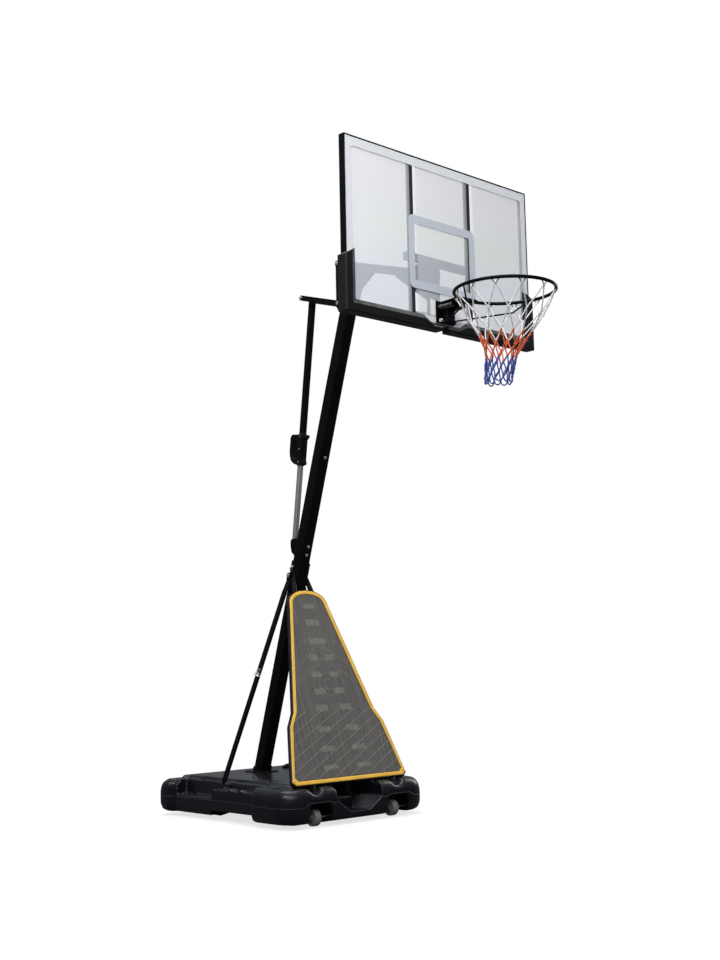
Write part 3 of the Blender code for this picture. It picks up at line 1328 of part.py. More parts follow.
def make_guard(black, yellow, grey):
    edge, band = GUARD_EDGE, GUARD_EDGE + GUARD_BAND
    skin = GUARD_SINK + GUARD_SKIN
    rings = [
        guard_ring(GUARD_WALL, skin),
        guard_ring(GUARD_WALL, GUARD_DEPTH),
        guard_ring(0.0, GUARD_DEPTH),
        guard_ring(0.0, GUARD_ROUND),
        guard_ring(edge - GAP, 0.0),
        guard_ring(edge - GAP, GUARD_SINK),
        guard_ring(band + 0.012, GUARD_SINK),
    ]
    panel = loft("guard_panel", rings, black)
    spans = (("foot", -0.010, GUARD_WALL + 0.003), ("head", GUARD_SHOULDER[1] + 0.015, GUARD_LENGTH + 0.010))
    for side in (-1, 1):
        for word, low, high in spans:
            cut(panel, leg_notch(f"{word}_notch_{side}", side, low, high))
    rings = [
        guard_ring(edge, GUARD_SINK - GAP),
        guard_ring(edge, 0.0),
        guard_ring(edge + 0.003, -0.002),
        guard_ring(band - 0.003, -0.002),
        guard_ring(band, 0.0),
        guard_ring(band, GUARD_SINK - GAP),
    ]
    loft("guard_band", rings, yellow, closed=True)
    rings = [guard_ring(band + GAP, GUARD_SINK - GAP), guard_ring(band + GAP, 0.001)]
    loft("guard_insert", rings, grey)


def make_all():
    clear_scene()
    black_steel = finish("black powder coat", (0.016, 0.017, 0.020), 0.42, 0.3)
    tank_black = finish("blow-moulded black", (0.014, 0.016, 0.020), 0.55)
    grip_black = finish("grip black", (0.012, 0.012, 0.014), 0.5)
    pad_black = finish("edge pad", (0.018, 0.018, 0.020), 0.6)
    wheel_grey = finish("wheel grey", (0.16, 0.155, 0.145), 0.7)
    bright = finish("bright steel", (0.62, 0.62, 0.62), 0.28, 1.0)
    zinc = finish("zinc plate", (0.47, 0.46, 0.43), 0.40, 1.0)
    clear = finish("clear panel", (0.90, 0.92, 0.94), 0.05, 0.0, 0.35)
    yellow = finish("guard yellow", (0.83, 0.52, 0.08), 0.5)
    grey = finish("guard grey", (0.115, 0.108, 0.098), 0.6)
    cord = finish("net cord", (0.78, 0.76, 0.74), 0.8)

    make_base(tank_black, grip_black, wheel_grey, bright)
    make_pole(black_steel, bright)
    make_braces(black_steel, bright)
    make_guard(tank_black, yellow, grey)
    make_arms(black_steel, bright)
    make_bracket(black_steel, bright)
    make_board(clear, black_steel)
    make_pads(pad_black)
    make_rim(black_steel, bright, cord)
    make_strut(black_steel, bright, zinc, grip_black)


make_all()
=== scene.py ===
"""Portable basketball stand: finishes, fine pieces, studio and camera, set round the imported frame.

Metres, +Z up. The board faces -Y, and the origin is on the floor under the middle of the base.
"""

import json
from math import atan, cos, pi, radians, sin, sqrt

import bmesh
import bpy
import numpy as np
from mathutils import Matrix, Vector
from mathutils.bvhtree import BVHTree

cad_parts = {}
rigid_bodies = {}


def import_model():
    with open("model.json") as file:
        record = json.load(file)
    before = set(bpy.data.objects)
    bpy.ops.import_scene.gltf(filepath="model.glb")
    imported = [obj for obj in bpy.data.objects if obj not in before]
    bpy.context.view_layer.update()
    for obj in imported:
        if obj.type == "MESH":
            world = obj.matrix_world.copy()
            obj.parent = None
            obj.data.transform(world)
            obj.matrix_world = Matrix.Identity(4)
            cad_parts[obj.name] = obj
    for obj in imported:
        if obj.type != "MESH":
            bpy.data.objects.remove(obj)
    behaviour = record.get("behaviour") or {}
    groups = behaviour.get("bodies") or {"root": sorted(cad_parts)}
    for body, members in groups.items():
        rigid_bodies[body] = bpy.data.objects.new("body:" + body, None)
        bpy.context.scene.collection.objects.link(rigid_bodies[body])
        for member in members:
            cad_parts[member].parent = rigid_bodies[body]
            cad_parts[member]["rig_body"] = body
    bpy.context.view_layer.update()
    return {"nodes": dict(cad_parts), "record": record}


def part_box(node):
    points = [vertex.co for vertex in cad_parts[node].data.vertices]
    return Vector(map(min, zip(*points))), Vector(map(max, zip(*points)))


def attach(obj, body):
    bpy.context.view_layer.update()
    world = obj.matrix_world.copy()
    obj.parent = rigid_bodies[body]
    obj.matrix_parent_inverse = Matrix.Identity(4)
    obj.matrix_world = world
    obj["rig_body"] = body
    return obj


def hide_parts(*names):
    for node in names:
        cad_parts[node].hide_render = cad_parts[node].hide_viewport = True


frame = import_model()

# Camera, solved from the photograph
CAMERA_SPOT = (-4.504, -5.383, 0.837)
CAMERA_YAW = radians(-43.157)
CAMERA_PITCH = radians(7.363)
CAMERA_ROLL = radians(-1.170)
CAMERA_LENS = 49.32

# Places read from the frame
BOARD_LOW, BOARD_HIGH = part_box("board_panel")
RING_LOW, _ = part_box("rim_ring")
NET_LOW, NET_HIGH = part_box("net")
BRACKET_LOW, BRACKET_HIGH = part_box("rim_bracket")
BOARD_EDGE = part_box("frame_left")[0].z

# Floor: the share of white for the camera, from the middle outwards
FLOOR_GLOW = 0.72
FLOOR_NEAR, FLOOR_FAR = 0.9, 2.6

# Clear panel: its haze, its painted shade from pale at the left to grey towards the right, and the strips
# where the uprights are glued to it
PANEL_HAZE = 0.73
PANEL_GLUED = 0.02
PANEL_LEFT_LIT = (0.93, 0.94, 0.96)
PANEL_RIGHT_SHADED = (0.64, 0.65, 0.66)
UPRIGHT_SPOT = 0.200
UPRIGHT_HALF = 0.0125

# Board prints
PRINT_DEPTH = 0.00015
BORDER_INNER = 0.593
BORDER_WIDTH = 0.046
BORDER_FOOT = 0.030
TARGET_HALF = 0.230
TARGET_LOW, TARGET_HIGH = 2.517, 2.873
TARGET_BAND = 0.040
TARGET_CORNER = 0.032

# Base tank: voxel size, rounds of softening, waviness, the seam's rib, and lines in plan with rise and width
TANK_VOXEL = 0.0045
TANK_SOFTEN = 9
MOUND_SOFTEN = 45
TANK_WAVE = 0.0007
SEAM_HALF = 0.0013
SEAM_STEP = 0.006
SEAM_GAP = 0.05
TANK_LINES = (
    (((0.421, 0.430), (0.343, 0.270), (0.383, -0.188), (0.400, -0.300)), -0.0045, 0.0055),
    (((0.396, -0.045), (0.430, -0.045)), 0.008, 0.015),
    (((0.396, -0.130), (0.430, -0.130)), 0.008, 0.015),
    (((0.290, -0.300), (0.290, -0.080), (0.180, 0.080)), -0.0030, 0.0050),
    (((0.120, 0.420), (0.280, 0.420)), -0.0030, 0.0050),
)

# Pole and guard
POLE_LEAN = radians(17.6)
GUARD_TILT = atan(0.350)
GUARD_RIB_SLOPE = 0.51
GUARD_RIB_STEP = 0.055
GUARD_RIB_TOP = 0.345
GUARD_MARKS = (
    ((0.0, 0.905), 0.040, 0.016), ((0.0, 0.815), 0.048, 0.020), ((0.0, 0.715), 0.062, 0.018),
    ((0.056, 0.625), 0.030, 0.018), ((0.060, 0.535), 0.034, 0.017), ((0.064, 0.445), 0.038, 0.018),
    ((0.078, 0.360), 0.042, 0.018), ((0.095, 0.250), 0.044, 0.016), ((0.104, 0.150), 0.048, 0.016),
    ((0.110, 0.058), 0.050, 0.014),
)
GUARD_CHEVRONS = (0.600, 0.614, 0.680, 0.694, 0.760, 0.774)
GUARD_RINGS = (0.028, 0.060)
GUARD_RING_LEVEL = 0.475
GUARD_RIB_RISE, GUARD_LINE_RISE, GUARD_MARK_SINK = 0.0014, 0.0011, 0.0009
GUARD_BACK = 0.0032
GUARD_GRID = (380, 241)

# Height strut: the pin at its foot and its direction
STRUT_FOOT = Vector((0, -0.06291, 1.390))
STRUT_AXIS = Vector((0, -0.133225, 0.991086))

# Ring, springs and net
SPRING_TURNS = 11
RING_RADIUS = 0.233
RING_TUBE = 0.008
RING_LEVEL = 2.4549
NECK_HALF = 0.052
NECK_END = 0.062
NECK_SHEET = 0.006
NECK_LAP = 0.0015
NECK_WELD = 0.0034
ROD_THICK = 0.004
ROD_START, ROD_BEND, ROD_BEND_REACH = 0.020, 0.160, 0.290
ROD_ANGLE = 12
BEAD = 0.0055
HOOK_COUNT = 12
HOOK_HALF = 0.0185
HOOK_WIRE = 0.0023
HOOK_BOW = 0.003
HOOK_DROP = 0.0195
NET_TOP_Z = 2.4465
NET_THICK = 0.0032
NET_DROPS = (0.0, 0.090, 0.200, 0.305, 0.425)
NET_RADII = (0.230, 0.180, 0.1075, 0.065, 0.0625)
NET_ROWS = (0.0, 0.235, 0.455, 0.585, 0.705, 0.82, 0.92)
NET_LEAN_START = 0.15
NET_LEAN = Vector((-0.026, 0.044, 0))
CORD_BLUE, CORD_ORANGE, CORD_WHITE = (0.010, 0.045, 0.34), (0.76, 0.10, 0.015), (0.84, 0.83, 0.82)

# Directions
X_WAY, Y_WAY, Z_WAY = Vector((1, 0, 0)), Vector((0, 1, 0)), Vector((0, 0, 1))


# Node helpers

FLOAT = "NodeSocketFloat"


def feed(socket, value):
    """Gives an input a number or a colour, or links another node's output to it."""
    if isinstance(value, bpy.types.NodeSocket):
        socket.id_data.links.new(value, socket)
    elif socket.type == "RGBA" and len(value) == 3:
        socket.default_value = (*value, 1.0)
    else:
        socket.default_value = value


def fill(node, **values):
    """Feeds a node's inputs by name. An underscore stands for a space."""
    for key, value in values.items():
        feed(node.inputs[key.replace("_", " ")], value)
    return node


def feed_all(node, *values):
    """Feeds a node's first inputs in order."""
    for socket, value in zip(node.inputs, values):
        feed(socket, value)
    return node


def add_node(tree, kind, **settings):
    """A shader node with its settings."""
    node = tree.nodes.new("ShaderNode" + kind)
    for key, value in settings.items():
        setattr(node, key, value)
    return node


def effect(name, inputs, outputs):
    """An empty node group with its sockets."""
    group = bpy.data.node_groups.new(name, "ShaderNodeTree")
    for label, kind, default in inputs:
        group.interface.new_socket(label, in_out="INPUT", socket_type=kind).default_value = default
    for label, kind in outputs:
        group.interface.new_socket(label, in_out="OUTPUT", socket_type=kind)
    return group, group.nodes.new("NodeGroupInput").outputs, group.nodes.new("NodeGroupOutput")


def own_place(tree):
    """The place on the object, in metres."""
    return add_node(tree, "TexCoord").outputs["Object"]


def split(tree, vector):
    """The X, Y and Z of a vector, by name."""
    return feed_all(add_node(tree, "SeparateXYZ"), vector).outputs


def stretched(tree, scale):
    """The place on the object, scaled by axis."""
    return fill(add_node(tree, "Mapping"), Vector=own_place(tree), Scale=scale).outputs["Vector"]


def noise(tree, place, scale, detail=3.0, roughness=0.55):
    """Noise in 0 to 1."""
    node = add_node(tree, "TexNoise")
    return fill(node, Vector=place, Scale=scale, Detail=detail, Roughness=roughness).outputs["Fac"]


def math_node(tree, operation, *values, clamp=False):
    node = add_node(tree, "Math", operation=operation, use_clamp=clamp)
    return feed_all(node, *values).outputs[0]


def times(tree, value, *shares):
    """A value times one or more shares."""
    for share in shares:
        value = math_node(tree, "MULTIPLY", value, share)
    return value


def ramp(tree, value, low, high, to_low=0.0, to_high=1.0):
    """A value carried from one range to another, held at its ends."""
    return feed_all(add_node(tree, "MapRange"), value, low, high, to_low, to_high).outputs[0]


def mix_colour(tree, share, a, b):
    node = add_node(tree, "Mix", data_type="RGBA")
    for slot, value in ((0, share), (6, a), (7, b)):
        feed(node.inputs[slot], value)
    return node.outputs[2]


# Effects that several finishes share

def make_grain():
    """Fine grain of a moulded or coated skin: a height in 0 to 1, and a slow blotch for the roughness."""
    group, given, out = effect(
        "Skin grain",
        [("Grain Scale", FLOAT, 900.0), ("Blotch Scale", FLOAT, 9.0)],
        [("Height", FLOAT), ("Blotch", FLOAT)],
    )
    spot = own_place(group)
    fill(out, Height=noise(group, spot, given["Grain Scale"], 2.0, 0.6),
         Blotch=noise(group, spot, given["Blotch Scale"], 4.0, 0.6))
    return group


def make_wear_and_shade():
    """Worn edges, and on the guard band painted shade along its rounded edges: a mask that is high on tight
    convex edges, broken up by noise.
    """
    sockets = [("Width", FLOAT, 0.0015), ("Amount", FLOAT, 0.5)]
    group, given, out = effect("Edge wear", sockets, [("Mask", FLOAT)])
    bevel = fill(add_node(group, "Bevel", samples=4), Radius=given["Width"])
    shape = add_node(group, "NewGeometry")
    dot = add_node(group, "VectorMath", operation="DOT_PRODUCT")
    feed_all(dot, bevel.outputs["Normal"], shape.outputs["Normal"])
    edge = ramp(group, dot.outputs["Value"], 0.995, 0.90)
    broken = ramp(group, noise(group, own_place(group), 60.0, 5.0, 0.7), 0.42, 0.62)
    fill(out, Mask=times(group, edge, broken, given["Amount"]))
    return group


def make_dust_and_sheen():
    """A mask on faces that look up: settled dusting, and where its amount is high a painted sheen of light on
    those faces.
    """
    group, given, out = effect("Settled dust", [("Amount", FLOAT, 0.3)], [("Mask", FLOAT)])
    shape = add_node(group, "NewGeometry")
    up = ramp(group, split(group, shape.outputs["Normal"])["Z"], 0.25, 0.95)
    patch = ramp(group, noise(group, own_place(group), 14.0, 6.0, 0.65), 0.30, 0.75, 0.25, 1.0)
    fill(out, Mask=times(group, up, patch, given["Amount"]))
    return group


GRAIN, WEAR_AND_SHADE, DUST_AND_SHEEN = make_grain(), make_wear_and_shade(), make_dust_and_sheen()


def use(tree, group, **values):
    """A shared effect's outputs, by name."""
    return fill(add_node(tree, "Group", node_tree=group), **values).outputs


def start_finish(name, roughness, **values):
    """A material with its Principled shader, whose plain values are set straight on its sockets."""
    material = bpy.data.materials.new(name)
    material.use_nodes = True
    shader = material.node_tree.nodes["Principled BSDF"]
    fill(shader, Roughness=roughness, **values)
    return material, material.node_tree, shader


def bumped(tree, shader, height, depth):
    bump = fill(add_node(tree, "Bump"), Strength=1.0, Distance=depth, Height=height)
    fill(shader, Normal=bump.outputs["Normal"])


def skin_finish(name, colour, rough, grain_scale, depth, worn, wear_and_shade, dust_and_sheen, shine=0.5, spread=0.12):
    """A moulded or coated skin: grain, blotchy gloss, worn edges that on the guard band are also painted
    shade, and a pale film on upward faces that is settled dusting at a low amount and a painted sheen at a
    high one.
    """
    material, tree, shader = start_finish(name, rough, Specular_IOR_Level=shine)
    grain = use(tree, GRAIN, Grain_Scale=grain_scale)
    dust_and_sheen_mask = use(tree, DUST_AND_SHEEN, Amount=dust_and_sheen)["Mask"]
    pale = tuple(min(1.0, c * 1.6 + 0.0012) for c in colour)
    body = mix_colour(tree, ramp(tree, grain["Blotch"], 0.35, 0.75, 0.0, 0.5), colour, pale)
    # Worn edges take the worn colour; on the guard band this darker yellow is also painted shade on its
    # rounded edges.
    body = mix_colour(tree, use(tree, WEAR_AND_SHADE, Amount=wear_and_shade)["Mask"], body, worn)
    gloss = ramp(tree, grain["Blotch"], 0.3, 0.7, rough - spread / 2, rough + spread / 2)
    gloss = math_node(tree, "ADD", gloss, times(tree, dust_and_sheen_mask, 0.25))
    # Upward faces go pale by the dust_and_sheen mask: settled dusting on most skins, a painted highlight on
    # the pads.
    fill(shader, Base_Color=mix_colour(tree, dust_and_sheen_mask, body, (0.20, 0.20, 0.195)), Roughness=gloss)
    bumped(tree, shader, grain["Height"], depth)
    return material


def insert_finish():
    """The guard's moulded grey insert: streaks, and paler ribs and tack marks from the relief's own mask."""
    material, tree, shader = start_finish("Guard grey", 0.55, Specular_IOR_Level=0.25)
    spot = own_place(tree)
    streak = noise(tree, stretched(tree, (170.0, 4.0, 4.0)), 1.0, 4.0, 0.65)
    body = mix_colour(tree, ramp(tree, streak, 0.36, 0.70), (0.070, 0.065, 0.060), (0.140, 0.132, 0.120))
    marked = add_node(tree, "Attribute", attribute_name="relief_mark").outputs["Fac"]
    worn = ramp(tree, noise(tree, spot, 75.0, 5.0, 0.7), 0.30, 0.66, 0.45, 1.15)
    body = mix_colour(tree, times(tree, marked, worn), body, (0.250, 0.240, 0.215))
    scuff = ramp(tree, noise(tree, spot, 38.0, 6.0, 0.75), 0.60, 0.78, 0.0, 0.35)
    fill(shader, Base_Color=mix_colour(tree, scuff, body, (0.17, 0.165, 0.15)),
         Roughness=ramp(tree, streak, 0.3, 0.7, 0.48, 0.62))
    grain = use(tree, GRAIN, Grain_Scale=700.0)["Height"]
    bumped(tree, shader, math_node(tree, "ADD", grain, streak), 0.00015)
    return material


def steel_finish(name, colour, rough, scale=(40.0, 40.0, 400.0)):
    """Plated steel with a brushed direction along its own Z, and dull spots."""
    material, tree, shader = start_finish(name, rough, Metallic=1.0)
    streak = noise(tree, stretched(tree, scale), 6.0, 3.0)
    dull = noise(tree, own_place(tree), 35.0, 5.0, 0.7)
    dark = tuple(c * 0.72 for c in colour)
    gloss = math_node(tree, "ADD", ramp(tree, streak, 0.3, 0.7, rough - 0.06, rough + 0.06),
                      ramp(tree, dull, 0.45, 0.75, 0.0, 0.15))
    fill(shader, Base_Color=mix_colour(tree, ramp(tree, dull, 0.4, 0.7), colour, dark), Roughness=gloss)
    bumped(tree, shader, streak, 0.00006)
    return material


def clear_finish():
    """Clear panel: a pale haze with painted shade from pale at the left to grey towards the right, faint
    tints, fine scratches, and clearer strips where it is glued.
    """
    material, tree, shader = start_finish("Clear panel", 0.08, IOR=1.49, Specular_IOR_Level=0.3)
    spot = own_place(tree)
    place = split(tree, spot)
    haze = noise(tree, spot, 2.2, 3.0)
    half = BOARD_HIGH.x
    # Painted shade: the panel's colour goes from pale at the left to grey towards the right.
    body = mix_colour(tree, ramp(tree, place["X"], -half, half * 0.6), PANEL_LEFT_LIT, PANEL_RIGHT_SHADED)
    level = ramp(tree, place["Z"], BOARD_LOW.z + 0.15, BOARD_HIGH.z - 0.10)
    cool = mix_colour(tree, ramp(tree, level, 0.15, 0.45), (0.74, 0.83, 1.0), (0.80, 0.94, 0.88))
    tint = mix_colour(tree, ramp(tree, level, 0.55, 0.85), cool, (0.92, 0.86, 0.94))
    body = mix_colour(tree, ramp(tree, haze, 0.35, 0.65, 0.20, 0.50), body, tint)
    across = math_node(tree, "SUBTRACT", math_node(tree, "ABSOLUTE", place["X"]), UPRIGHT_SPOT)
    across = math_node(tree, "ABSOLUTE", across)
    glued = math_node(tree, "ADD", *(
        ramp(tree, across, UPRIGHT_HALF, end, 0.0, share)
        for end, share in ((UPRIGHT_HALF + 0.0008, 0.45), (UPRIGHT_HALF * 3.2, 0.55))
    ))
    cloudy = ramp(tree, haze, 0.3, 0.7, PANEL_HAZE - 0.03, PANEL_HAZE + 0.03)
    middle = (BOARD_LOW.y + BOARD_HIGH.y) / 2
    rear = ramp(tree, place["Y"], middle - 0.0005, middle + 0.0005)
    behind = ramp(tree, glued, 0.0, 1.0, PANEL_GLUED, cloudy)
    scratch = noise(tree, spot, 300.0, 6.0, 0.8)
    fill(shader, Base_Color=body, Alpha=ramp(tree, rear, 0.0, 1.0, 0.02, behind),
         Roughness=ramp(tree, scratch, 0.4, 0.8, 0.06, 0.20))
    return material


def print_finish(name, colour, alpha):
    """Screen-printed ink on the panel, a little uneven."""
    material, tree, shader = start_finish(name, 0.35, Alpha=alpha)
    spot = own_place(tree)
    pale = tuple(min(1.0, c * 1.06) for c in colour)
    fill(shader, Base_Color=mix_colour(tree, noise(tree, spot, 6.0, 4.0), colour, pale))
    bumped(tree, shader, noise(tree, spot, 700.0, 2.0), 0.00005)
    return material


def cord_finish():
    """Braided cord in three colours, by height on the net."""
    material, tree, shader = start_finish("Net cord", 0.8, Sheen_Weight=0.3, Sheen_Roughness=0.5)
    spot = own_place(tree)
    height = split(tree, spot)["Z"]
    body = CORD_BLUE
    for share, colour in ((0.72, CORD_ORANGE), (0.46, CORD_WHITE)):
        end = NET_HIGH.z - (NET_HIGH.z - NET_LOW.z) * share
        body = mix_colour(tree, ramp(tree, height, end - 0.002, end + 0.002), body, colour)
    strands = noise(tree, spot, 900.0, 2.0)
    dark = mix_colour(tree, 0.45, body, (0.05, 0.05, 0.05))
    fill(shader, Base_Color=mix_colour(tree, ramp(tree, strands, 0.3, 0.7, 0.7, 0.0), body, dark))
    bumped(tree, shader, strands, 0.0006)
    return material


POWDER = skin_finish("Black powder coat", (0.0022, 0.0024, 0.0029), 0.38, 1400.0, 0.00006,
                     (0.030, 0.030, 0.030), 0.22, 0.006, 0.07)
TANK = skin_finish("Blow-moulded black", (0.0024, 0.0030, 0.0046), 0.27, 800.0, 0.00008,
                   (0.025, 0.028, 0.034), 0.2, 0.010, 0.24)
SEAM = skin_finish("Moulding seam", (0.022, 0.023, 0.025), 0.40, 800.0, 0.00004,
                   (0.05, 0.05, 0.05), 0.3, 0.02, 0.4)
GRIP = skin_finish("Moulded black", (0.0028, 0.0028, 0.0032), 0.36, 1200.0, 0.00005,
                   (0.05, 0.05, 0.05), 0.3, 0.006, 0.10)
# Its high amount on upward faces, 1.7, paints them pale: a painted highlight on the pads' top faces.
PAD = skin_finish("Edge pad skin", (0.0050, 0.0052, 0.0064), 0.48, 1000.0, 0.00012,
                  (0.05, 0.05, 0.05), 0.15, 1.7, 0.20)
WHEEL = skin_finish("Wheel grey", (0.185, 0.178, 0.163), 0.62, 500.0, 0.0002,
                    (0.28, 0.27, 0.24), 0.3, 0.05, 0.3)
# Its worn colour is a darker shade of the yellow: partly worn edges, partly painted shade along the band's
# rounded edges.
YELLOW = skin_finish("Guard yellow", (0.78, 0.42, 0.045), 0.40, 900.0, 0.00006,
                     (0.40, 0.21, 0.04), 0.35, 0.0, 0.35)
GREY = insert_finish()
BRIGHT = steel_finish("Bright steel", (0.78, 0.78, 0.78), 0.32)
ZINC = steel_finish("Zinc plate", (0.62, 0.61, 0.57), 0.44, (400.0, 40.0, 8.0))
RAIL = steel_finish("Bottom rail", (0.42, 0.44, 0.48), 0.48)
SPRING = steel_finish("Spring steel", (0.16, 0.16, 0.17), 0.36)
CLEAR = clear_finish()
BORDER_INK = print_finish("Border ink", (0.93, 0.96, 1.0), 0.90)
TARGET_INK = print_finish("Shooting square ink", (0.66, 0.71, 0.77), 0.93)
CORD = cord_finish()

SLOTS = {
    "black_steel": POWDER,
    "bright_steel": BRIGHT,
    "plated_steel": ZINC,
    "black_plastic": TANK,
    "moulded_black": GRIP,
    "wheel_grey": WHEEL,
    "edge_pad": PAD,
    "clear_panel": CLEAR,
    "guard_yellow": YELLOW,
    "guard_grey": GREY,
    "net_cord": CORD,
}


# Pieces

def put(name, data):
    """A new object in the scene."""
    obj = bpy.data.objects.new(name, data)
    bpy.context.scene.collection.objects.link(obj)
    return obj


def add_piece(name, mesh, finish, body, replaces=()):
    """Adds a piece, gives it its finish and puts it on its body."""
    obj = put(name, mesh)
    mesh.materials.clear()
    mesh.materials.append(finish)
    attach(obj, body)
    if replaces:
        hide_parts(*replaces)
    return obj


def clean_copy(node):
    """A CAD node's shape as plain faces, without the triangles' lines."""
    bm = bmesh.new()
    bm.from_mesh(frame["nodes"][node].data)
    bmesh.ops.remove_doubles(bm, verts=bm.verts, dist=0.000005)
    bmesh.ops.dissolve_limit(bm, angle_limit=radians(0.4), verts=bm.verts, edges=bm.edges)
    mesh = bpy.data.meshes.new(node + "_fine")
    bm.to_mesh(mesh)
    bm.free()
    if "custom_normal" in mesh.attributes:
        mesh.attributes.remove(mesh.attributes["custom_normal"])
    return mesh


NODE_SLOTS = {part["node"]: part["material_slot"] for part in frame["record"]["subparts"]}


def body_of(node):
    return frame["nodes"][node]["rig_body"]


def box_of(node):
    """A node's box: its low and high corners, its middle and half its size."""
    low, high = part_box(node)
    return low, high, (low + high) / 2, (high - low) / 2


def stand_for(node, name, mesh, finish=None):
    """A piece that stands for a CAD node, with the finish of the node's slot unless another is given."""
    slot = NODE_SLOTS[node]
    return add_piece(name, mesh, finish or SLOTS[slot], body_of(node), (node,))


def refined(node, width, segments, angle):
    """A copy of a CAD node with rounded edges and flat faces, which stands for it."""
    obj = stand_for(node, node + "_fine", clean_copy(node), RAIL if node == "frame_bottom" else None)
    bevel = obj.modifiers.new("edges", "BEVEL")
    bevel.width = width
    bevel.segments = segments
    bevel.limit_method = "ANGLE"
    bevel.angle_limit = radians(angle)
    bevel.use_clamp_overlap = True
    obj.modifiers.new("flat_faces", "WEIGHTED_NORMAL")
    obj.data.shade_smooth()
    return obj


# Rounding of CAD nodes: width, least angle in degrees, and the nodes, where a * stands for left and right
REFINED = (
    (0.0006, 30.0, "pole_collar brace_collar head_plate_* board_bracket_* frame_top frame_bottom frame_*"),
    (0.0006, 30.0, "rear_frame rim_mount strut_clevis trigger trigger_pin wheel_axle_*"),
    (0.0006, 30.0, "board_panel guard_band"),
    (0.0010, 42.0, "pole_lower pole_middle pole_upper strut_tube strut_rod guard_panel rim_bracket"),
    (0.0015, 42.0, "front_brace_* side_brace_*"),
    (0.0015, 30.0, "lower_arm_* upper_arm_*"),
    (0.0030, 30.0, "handle_body"),
)


def both_sides(name):
    """A name, or its left and right forms where it has a *."""
    return [name.replace("*", side) for side in ("left", "right")] if "*" in name else [name]


def dress_nodes():
    for width, angle, names in REFINED:
        for name in names.split():
            for node in both_sides(name):
                refined(node, width, 2, angle)
    for node in both_sides("pad_*"):
        refined(node, 0.0035, 3, 24.0)
    for node, obj in frame["nodes"].items():
        if not obj.hide_render:
            obj.data.materials.clear()
            obj.data.materials.append(SLOTS[NODE_SLOTS[node]])


# Mesh builders

def mesh_from(name, points, faces, smooth=True):
    mesh = bpy.data.meshes.new(name)
    mesh.from_pydata([tuple(p) for p in points], [], faces)
    mesh.validate()
    bm = bmesh.new()
    bm.from_mesh(mesh)
    bmesh.ops.recalc_face_normals(bm, faces=bm.faces)
    bm.to_mesh(mesh)
    bm.free()
    if smooth:
        mesh.shade_smooth()
    return mesh


def skin(rings, closed=False, capped=True):
    """Points and faces of a skin over rings that all have the same number of points."""
    count = len(rings[0])
    points = [p for ring in rings for p in ring]
    faces = []
    for i in range(len(rings) if closed else len(rings) - 1):
        a, b = i * count, (i + 1) % len(rings) * count
        for j in range(count):
            k = (j + 1) % count
            faces.append((a + j, a + k, b + k, b + j))
    if capped and not closed:
        faces.append(tuple(range(count)))
        faces.append(tuple(range(len(points) - count, len(points))))
    return points, faces


def joined(shapes):
    """Several (points, faces) as one."""
    points, faces = [], []
    for some, links in shapes:
        start = len(points)
        points.extend(some)
        faces.extend(tuple(i + start for i in face) for face in links)
    return points, faces


def side_axes(axis):
    axis = Vector(axis).normalized()
    near = Z_WAY if abs(axis.z) < 0.9 else X_WAY
    across = axis.cross(near).normalized()
    return axis, across, across.cross(axis).normalized()


def around(angle, across=X_WAY, up=Y_WAY):
    """The direction at an angle between two axes."""
    return across * cos(angle) + up * sin(angle)


def ring_of(centre, across, up, radius, sides, turn=0.0):
    """Points round a centre. radius is a number, or gives one for a step and its angle."""
    ring = []
    for step in range(sides):
        angle = 2 * pi * step / sides
        size = radius(step, angle) if callable(radius) else radius
        ring.append(Vector(centre) + around(angle + turn, across, up) * size)
    return ring


def turned(profile, spot, axis, sides=32, ridge=None):
    """A turned shape: (radius, distance) pairs along an axis. ridge(step, distance) scales the radius."""
    axis, across, up = side_axes(axis)
    rings = []
    for radius, along in profile:
        def size(step, angle):
            return radius * (ridge(step, along) if ridge else 1.0)
        rings.append(ring_of(Vector(spot) + axis * along, across, up, size, sides))
    return skin(rings)


def swept(route, radius, sides=10, closed=False, wave=None):
    """A round cord or rod along a route, without twist. wave(share) scales its radius."""
    route = [Vector(p) for p in route]
    count = len(route)
    _, across, _ = side_axes(route[1] - route[0])
    rings = []
    for i, spot in enumerate(route):
        before = route[(i - 1) % count] if closed or i else spot
        after = route[(i + 1) % count] if closed or i < count - 1 else spot
        axis = (after - before).normalized()
        across = (across - axis * across.dot(axis)).normalized()
        up = axis.cross(across)
        size = radius * (wave(i / (count - 1)) if wave else 1.0)
        rings.append(ring_of(spot, across, up, size, sides))
    return skin(rings, closed=closed)


def curve_through(points, steps=8):
    """A smooth route through points."""
    points = [Vector(p) for p in points]
    padded = [points[0] * 2 - points[1]] + points + [points[-1] * 2 - points[-2]]
    route = []
    for i in range(1, len(padded) - 2):
        a, b, c, d = padded[i - 1:i + 3]
        for step in range(steps):
            t = step / steps
            route.append(0.5 * (2 * b + (c - a) * t + (2 * a - 5 * b + 4 * c - d) * t * t
                                + (3 * b - a - 3 * c + d) * t ** 3))
    return route + [points[-1]]


def hexagon(spot, axis, across_flats, height, turn=0.0):
    """A hex head or nut with its corners turned off."""
    axis, across, up = side_axes(axis)
    corner = across_flats / sqrt(3)
    rings = []
    for most, along in ((0.90, 0.0), (1.0, 0.12), (1.0, 0.72), (0.97, 0.86), (0.86, 1.0)):
        def size(step, angle):
            flat = cos(pi / 6) / cos((angle % (pi / 3)) - pi / 6)
            return corner * min(flat, most)
        rings.append(ring_of(Vector(spot) + axis * height * along, across, up, size, 24, turn))
    return skin(rings)


def washer(spot, axis, outer, thickness):
    profile = ((outer * 0.4, 0.0), (outer * 0.94, 0.0), (outer, thickness * 0.3), (outer, thickness * 0.7),
               (outer * 0.94, thickness), (outer * 0.4, thickness))
    return turned(profile, spot, axis, 28)


